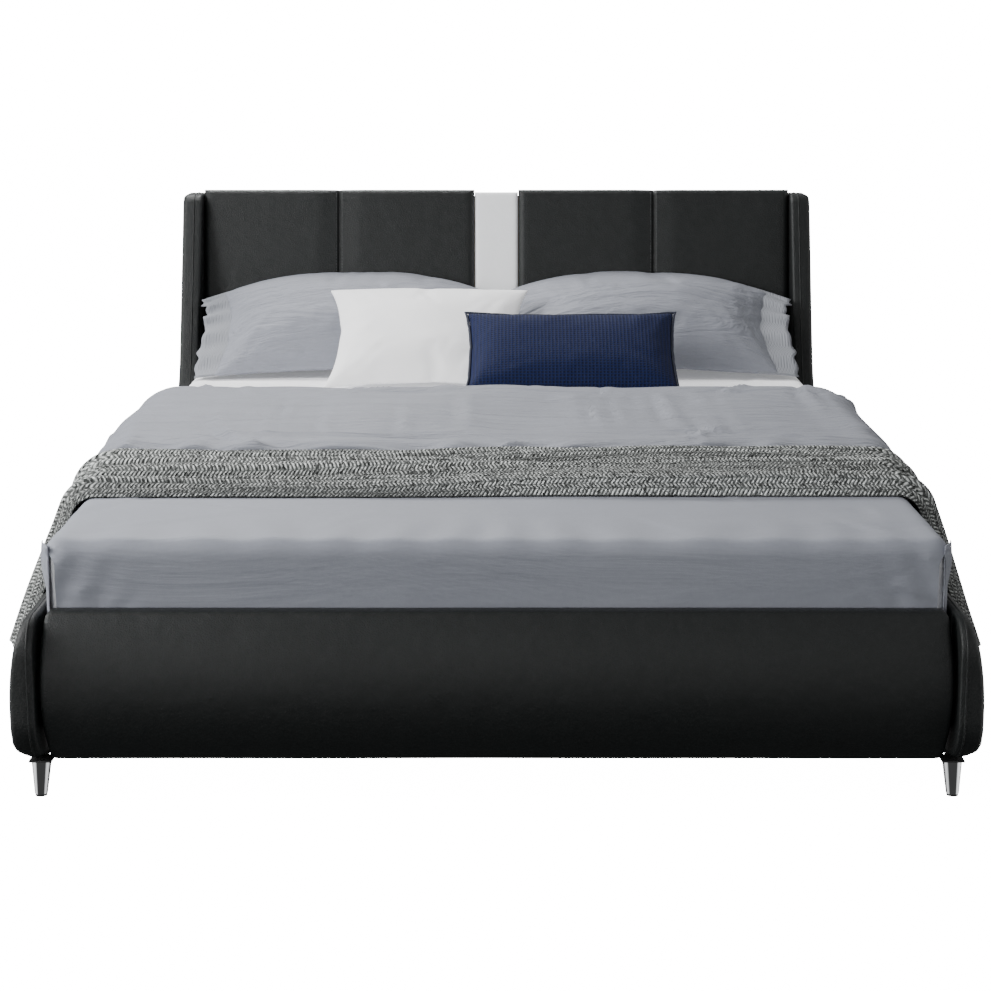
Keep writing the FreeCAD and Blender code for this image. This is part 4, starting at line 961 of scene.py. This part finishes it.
def sewn_pair(name, width, height, seed):
    """Two layers of cloth, sewn round their edge, in the plane of the cushion."""
    cols, rows = max(int(width / cloth_cell), 8), max(int(height / cloth_cell), 8)
    rng = np.random.default_rng(seed)
    u, v = np.meshgrid(np.linspace(-1, 1, cols + 1), np.linspace(-1, 1, rows + 1))
    x, z = u * width / 2, v * height / 2
    bump = np.sqrt(np.clip((1 - u ** 4) * (1 - v ** 4), 0, 1))
    thick = 0.014 + 0.0006 * rng.normal(size=u.shape)
    front = np.stack([x, -bump * thick, z], 2).reshape(-1, 3)
    back = np.stack([x, bump * thick, z], 2).reshape(-1, 3)
    on_rim = (np.abs(u) == 1) | (np.abs(v) == 1)
    number = np.arange(u.size)
    twin = np.where(on_rim.ravel(), number, number + u.size)
    faces = []
    for r in range(rows):
        for c in range(cols):
            k = r * (cols + 1) + c
            quad = (k, k + 1, k + cols + 2, k + cols + 1)
            faces.append(quad)
            faces.append(tuple(int(twin[i]) for i in quad[::-1]))
    piece = mesh_piece(name, np.concatenate([front, back]), faces)
    work = bmesh.new()
    work.from_mesh(piece.data)
    bmesh.ops.delete(work, geom=[q for q in work.verts if not q.link_faces], context="VERTS")
    bmesh.ops.recalc_face_normals(work, faces=work.faces)
    work.to_mesh(piece.data)
    work.free()
    return piece


def all_points(piece):
    flat = np.empty(len(piece.data.vertices) * 3)
    piece.data.vertices.foreach_get("co", flat)
    return flat.reshape(-1, 3)


def set_points(piece, points):
    piece.data.vertices.foreach_set("co", np.ascontiguousarray(points).ravel())
    piece.data.update()


def swell_up(piece, pressure, cap, frames, stiff):
    """Blows a closed cloth form up a little, without gravity, and keeps every move under a cap."""
    before = np.empty(len(piece.data.vertices) * 3)
    piece.data.vertices.foreach_get("co", before)
    cloth = piece.modifiers.new("cloth", "CLOTH")
    setup = cloth.settings
    setup.quality = 5
    setup.mass = 0.25
    setup.use_pressure = True
    setup.uniform_pressure_force = pressure
    setup.tension_stiffness = setup.compression_stiffness = stiff
    setup.shear_stiffness = 4.0
    setup.bending_stiffness = 0.4
    setup.effector_weights.gravity = 0
    cloth.point_cache.frame_start, cloth.point_cache.frame_end = 1, frames
    for frame_number in range(1, frames + 1):
        bpy.context.scene.frame_set(frame_number)
    ready = piece.evaluated_get(bpy.context.evaluated_depsgraph_get())
    after = np.empty(len(before))
    ready.data.vertices.foreach_get("co", after)
    piece.modifiers.remove(cloth)
    bpy.context.scene.frame_set(1)
    move = (after - before).reshape(-1, 3)
    size = np.linalg.norm(move, axis=1)
    move *= np.minimum(1, cap / np.maximum(size, 1e-9))[:, None]
    piece.data.vertices.foreach_set("co", (before.reshape(-1, 3) + move).ravel())
    piece.data.update()


def stuffed(name, width, height, thick, seed, pressure, frames=24, droop=0.0, bulge=0.0, point=0.0, pull=0.03,
            wrinkles=5):
    """Sews and blows up a cushion, then trims it to its finished outline and thickness."""
    piece = sewn_pair(name, width, height, seed)
    start = all_points(piece)
    swell_up(piece, pressure, 0.4, frames, 8.0)
    full = all_points(piece)
    full -= (full.max(0) + full.min(0)) / 2
    u, v = start[:, 0] / (width / 2), start[:, 2] / (height / 2)
    p = start * 0.8 + full * 0.2 * (np.array([width, thick, height]) / (full.max(0) - full.min(0)))
    p[:, 1] = full[:, 1] * thick / (full[:, 1].max() - full[:, 1].min())
    p[:, 0] *= 1 - pull * (1 - v ** 2)
    p[:, 2] *= 1 - pull * (1 - u ** 2) * 0.6
    corner = np.clip(np.abs(u * v), 0, 1) ** 4
    p[:, 0] += np.sign(u) * corner * point
    p[:, 2] += np.sign(v) * corner * point * 0.6
    upper = np.clip(v, 0, 1)
    p[:, 2] -= droop * np.abs(u) ** 2.6 * upper - bulge * (1 - u ** 2) * upper
    p[:, 1] += ripple(p[:, 0], p[:, 2], seed, 0.07, 0.0022) * (1 - np.abs(u) ** 3) * (1 - np.abs(v) ** 3)
    for way in (-1, 1):
        face = np.clip(way * p[:, 1] / (thick / 2), 0, 1) ** 0.5
        for near in ((-1, -1), (1, -1), (-1, 1), (1, 1)):
            corner_at = (near[0] * width / 2, near[1] * height / 2)
            area = sorted((corner_at[0] * 0.45, corner_at[0] * 0.95)) + sorted((corner_at[1] * 0.2,
                                                                                corner_at[1] * 0.9))
            crease_seed = seed + way * 3 + near[0] + 5 * near[1]
            p[:, 1] += way * face * creases(p[:, 0], p[:, 2], crease_seed, wrinkles, area, width * 0.10,
                                            0.0040, 0.006, corner_at)
        p[:, 1] += way * face * creases(p[:, 0], p[:, 2], seed + 40 + way, wrinkles + 3,
                                        (-width * 0.4, width * 0.4, -height * 0.4, height * 0.4),
                                        width * 0.12, 0.0030, 0.008)
    set_points(piece, p)
    rim = p[border(int(height / cloth_cell) + 1, int(width / cloth_cell) + 1)]
    finer = piece.modifiers.new("finer", "SUBSURF")
    finer.levels = finer.render_levels = 1
    return evaluated_copy(name, piece), rim


def leaned_back(piece, node, tilt_degrees, shift=(0, 0, 0)):
    """Puts a cushion where its node stands, leaning back from upright."""
    low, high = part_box(node)
    middle = (np.array(low) + high) / 2 + shift
    t = math.radians(tilt_degrees)
    p = all_points(piece)
    x, d, h = p[:, 0], -p[:, 1], p[:, 2]
    set_points(piece, np.stack([middle[0] + x, middle[1] + h * math.sin(t) - d * math.cos(t),
                                middle[2] + h * math.cos(t) + d * math.sin(t)], 1))


hem_cloth = woven_cloth("pillow_hem", (0.17, 0.18, 0.20), (0.30, 0.31, 0.34), 0.8, 0.007, 1.0)
for hand_name, hand in (("left", -1), ("right", 1)):
    node = f"pillow_{hand_name}"
    pillow, _ = stuffed(f"bed_pillow_{hand_name}", 0.668, 0.392, 0.170, 90 + hand, 5.0, droop=0.085,
                        bulge=0.034, point=0.010, wrinkles=8)
    p = all_points(pillow)
    p[:, 0] -= hand * 0.026
    set_points(pillow, p)
    hem_rows, hem_cols = 44, 10
    up = np.linspace(-1, 1, hem_rows)
    points = []
    for c in range(hem_cols):
        share = c / (hem_cols - 1)
        for r in up:
            x = hand * (0.262 + share * (0.090 + 0.014 * abs(r) ** 3) + 0.004 * math.sin(r * 9) * share)
            h = 0.196 * r * (0.97 + 0.05 * share * abs(r) ** 2)
            h -= 0.085 * (abs(x) / 0.334) ** 2.6 * max(r, 0)
            x += hand * 0.006 * share * math.sin(r * 23 + 2) * abs(r)
            d = 0.005 * math.sin(r * 14 + share * 2) * share
            points.append((x, d, h))
    faces = [(c * hem_rows + r, c * hem_rows + r + 1, (c + 1) * hem_rows + r + 1, (c + 1) * hem_rows + r)
             for c in range(hem_cols - 1) for r in range(hem_rows - 1)]
    hem = mesh_piece(f"pillow_hem_{hand_name}", points, faces)
    layers = hem.modifiers.new("two_layers", "SOLIDIFY")
    layers.thickness = 0.003
    hem = evaluated_copy(hem.name, hem)
    outward(hem)
    for piece in (pillow, hem):
        leaned_back(piece, node, 57)
    dress(pillow, duvet_cotton, "bed_pillows", [node])
    dress(hem, hem_cloth, "bed_pillows")

# The white linen is given a painted glow, a faint emission that brightens it.
white_linen = woven_cloth("white_linen", (0.92, 0.92, 0.93), (0.96, 0.96, 0.96), 0.8, 0.0018, 0.4,
                          painted_glow=0.16)
white_cushion, _ = stuffed("white_cushion_cover", 0.470, 0.345, 0.125, 95, 6.0, bulge=0.030, point=0.020,
                           pull=0.05, wrinkles=7)
leaned_back(white_cushion, "cushion_white", 56)
dress(white_cushion, white_linen, "white_cushion", ["cushion_white"])

navy, navy_tree, navy_shader = node_material("navy_weave", 0.8)
navy_axes = wire(navy_tree, "ShaderNodeSeparateXYZ", {0: wire(navy_tree, "ShaderNodeTexCoord").outputs[
    "Object"]})
navy_down = wire(navy_tree, "ShaderNodeMath", {0: navy_axes.outputs["Y"], 1: navy_axes.outputs["Z"]},
                 operation="ADD")
navy_waves = []
for source, step in ((navy_axes.outputs["X"], 0.0085), (navy_down.outputs[0], 0.0095)):
    turned = wire(navy_tree, "ShaderNodeMath", {0: source}, operation="MULTIPLY")
    turned.inputs[1].default_value = 2 * math.pi / step
    navy_waves.append(wire(navy_tree, "ShaderNodeMath", {0: turned.outputs[0]}, operation="SINE"))
waffle = wire(navy_tree, "ShaderNodeMath", {0: navy_waves[0].outputs[0], 1: navy_waves[1].outputs[0]},
              operation="MAXIMUM")
navy_bump = wire(navy_tree, "ShaderNodeBump", {"Height": waffle.outputs[0]}, Strength=0.6, Distance=0.0012)
# Painted shade: the hollows of the waffle get the darker navy and the raised grid the lighter one.
navy_hollow_shade = wire(navy_tree, "ShaderNodeMix", {"Factor": waffle.outputs[0]}, data_type="RGBA")
navy_hollow_shade.inputs[6].default_value = (0.0010, 0.0036, 0.0230, 1)
navy_hollow_shade.inputs[7].default_value = (0.0022, 0.0090, 0.0560, 1)
navy_tree.links.new(navy_hollow_shade.outputs[2], navy_shader.inputs["Base Color"])
navy_tree.links.new(navy_bump.outputs[0], navy_shader.inputs["Normal"])
navy_shader.inputs["Specular IOR Level"].default_value = 0.25
lumbar, seam_run = stuffed("navy_cushion_cover", 0.496, 0.262, 0.104, 97, 6.0, point=0.005, pull=0.018,
                           wrinkles=1)
navy_edge, _, edge_shader = node_material("navy_piping", 0.7)
navy_edge_tree = navy_edge.node_tree
edge_twist = wire(navy_edge_tree, "ShaderNodeTexNoise", {"Vector": wire(
    navy_edge_tree, "ShaderNodeTexCoord").outputs["Object"]}, Scale=600.0)
edge_bump = wire(navy_edge_tree, "ShaderNodeBump", {"Height": edge_twist.outputs["Fac"]}, Strength=0.6,
                 Distance=0.0005)
navy_edge_tree.links.new(edge_bump.outputs[0], edge_shader.inputs["Normal"])
edge_shader.inputs["Base Color"].default_value = (0.0030, 0.0060, 0.022, 1)
navy_piping = use_group(line_piece("navy_piping", seam_run, True), welt_tree(navy_edge), "navy_piping",
                        Radius=0.0035)
for piece in (lumbar, navy_piping):
    leaned_back(piece, "cushion_navy", 52)
dress(lumbar, navy, "navy_cushion", ["cushion_navy"])
dress(navy_piping, navy_edge, "navy_cushion")

# ------------------------------------------------------------------ back of the headboard
# One sheet of black lining is stretched up the back of the stiles, carried forward over their tops and
# the plywood's upper edge, and stapled down behind the foam of the pads.
lining = woven_cloth("black_lining", (0.012, 0.012, 0.013), (0.020, 0.020, 0.021), 0.9, 0.003, 0.8)
lining_half = pad_far - 0.0012
back_plane, front_plane = -0.0390, -0.0008
turn_back = 0.012
over_top = pad_tall - 0.0112
path = [(up, back_plane) for up in steps_between(0.001, over_top - turn_back, 0.006, 40)]
path += [(over_top - turn_back + turn_back * math.sin(t), back_plane + turn_back * (1 - math.cos(t)))
         for t in np.linspace(0, math.pi / 2, 9)[1:]]
path += [(over_top, out) for out in np.linspace(back_plane + turn_back, front_plane, 6)[1:]]
path = np.array(path)
path_run = np.concatenate([[0], np.cumsum(np.hypot(*np.diff(path, axis=0).T))])
x = steps_between(-lining_half, lining_half, 0.006, 90)
across, along = np.meshgrid(x, path_run)
looseness = ripple(across, along, 71, 0.13, 0.0007) * np.clip(1 - along / (over_top - turn_back), 0, 1)
points = [leaned(a, up, out - abs(s)) for row, (up, out) in zip(looseness, path)
          for a, s in zip(x, row)]
faces = [(r * len(x) + c, (r + 1) * len(x) + c, (r + 1) * len(x) + c + 1, r * len(x) + c + 1)
         for r in range(len(path) - 1) for c in range(len(x) - 1)]
back_lining = mesh_piece("headboard_back_lining", points, faces)
thick = back_lining.modifiers.new("cloth", "SOLIDIFY")
thick.thickness = 0.001
back_lining = evaluated_copy("headboard_back_lining", back_lining)
outward(back_lining)
dress(back_lining, lining, "frame", ["headboard_back_cloth"])

# ------------------------------------------------------------------ woodwork, steel and legs
# What the covers hide: board cores, plywood slats and pine rails, a black steel beam with its legs and
# brackets. The four corner legs are chrome plated, with plastic glides.


def sawn_wood(name, pale, dark, stretch, rough=0.7):
    """Sawn wood with long grain along the piece and paler and darker rings."""
    made, tree, shader = node_material(name, rough)
    place = wire(tree, "ShaderNodeTexCoord").outputs["Object"]
    along = wire(tree, "ShaderNodeMapping", {"Vector": place})
    along.inputs["Scale"].default_value = stretch
    warp = wire(tree, "ShaderNodeTexNoise", {"Vector": along.outputs[0]}, Scale=6.0, Detail=6.0,
                Distortion=1.2)
    rings = wire(tree, "ShaderNodeTexWave", {"Vector": along.outputs[0]}, Scale=9.0, Distortion=6.0,
                 Detail=3.0)
    both = wire(tree, "ShaderNodeMath", {0: warp.outputs["Fac"], 1: rings.outputs["Fac"]},
                operation="MULTIPLY")
    tone = wire(tree, "ShaderNodeMix", {"Factor": both.outputs[0]}, data_type="RGBA")
    tone.inputs[6].default_value = (*pale, 1)
    tone.inputs[7].default_value = (*dark, 1)
    bump = wire(tree, "ShaderNodeBump", {"Height": both.outputs[0]}, Strength=0.3, Distance=0.001)
    tree.links.new(tone.outputs[2], shader.inputs["Base Color"])
    tree.links.new(bump.outputs[0], shader.inputs["Normal"])
    return made


def speckled(name, colour, rough, metal, size, bump, spread=0.06):
    """A hard finish with fine texture and slight changes of polish, for paint, plating and plastic."""
    made, tree, shader = node_material(name, rough, metal)
    place = wire(tree, "ShaderNodeTexCoord").outputs["Object"]
    grain = wire(tree, "ShaderNodeTexNoise", {"Vector": place}, Scale=size, Detail=4.0)
    wear = wire(tree, "ShaderNodeTexNoise", {"Vector": place}, Scale=14.0, Detail=3.0)
    polish = wire(tree, "ShaderNodeMapRange", {"Value": wear.outputs["Fac"]},
                  To_Min=max(rough - spread, 0.02), To_Max=rough + spread)
    tone = wire(tree, "ShaderNodeMix", {"Factor": wear.outputs["Fac"]}, data_type="RGBA")
    tone.inputs[6].default_value = (*[c * 0.88 for c in colour], 1)
    tone.inputs[7].default_value = (*[min(c * 1.12, 1) for c in colour], 1)
    rough_bump = wire(tree, "ShaderNodeBump", {"Height": grain.outputs["Fac"]}, Strength=bump,
                      Distance=0.0004)
    tree.links.new(polish.outputs[0], shader.inputs["Roughness"])
    tree.links.new(tone.outputs[2], shader.inputs["Base Color"])
    tree.links.new(rough_bump.outputs[0], shader.inputs["Normal"])
    return made


plywood = sawn_wood("plywood", (0.62, 0.47, 0.30), (0.42, 0.29, 0.17), (1.0, 12.0, 12.0))
pine = sawn_wood("pine", (0.66, 0.50, 0.30), (0.45, 0.30, 0.16), (12.0, 1.0, 12.0))
stained_pine = sawn_wood("black_stained_pine", (0.022, 0.021, 0.020), (0.010, 0.010, 0.010),
                         (1.0, 12.0, 12.0), 0.5)
black_steel = speckled("black_steel", (0.018, 0.018, 0.019), 0.42, 0.0, 1600.0, 0.5)
chrome = speckled("chrome_plate", (0.78, 0.79, 0.80), 0.06, 1.0, 300.0, 0.02, 0.02)
black_plastic = speckled("black_plastic", (0.015, 0.015, 0.016), 0.55, 0.0, 1200.0, 0.4)
zinc = speckled("zinc_steel", (0.55, 0.56, 0.58), 0.32, 1.0, 900.0, 0.2)

finishes = (
    (plywood, ("footboard_board", "headboard_board", "slat_", "rail_core_", "wing_core_")),
    (pine, ("footboard_rib_", "headboard_stile_", "ledger_")),
    (stained_pine, ("headboard_cross_rail",)),
    (black_steel, ("centre_beam", "beam_hangers", "centre_leg_", "corner_bracket_", "leg_plates")),
    (chrome, ("corner_leg_",)),
    (black_plastic, ("leg_glides", "levelling_foot_")),
    (zinc, ("bracket_bolts",)))
for finish, stems in finishes:
    for part in [o for o in bpy.data.objects if o.type == "MESH" and o.name.startswith(stems)]:
        part.data.materials.clear()
        part.data.materials.append(finish)
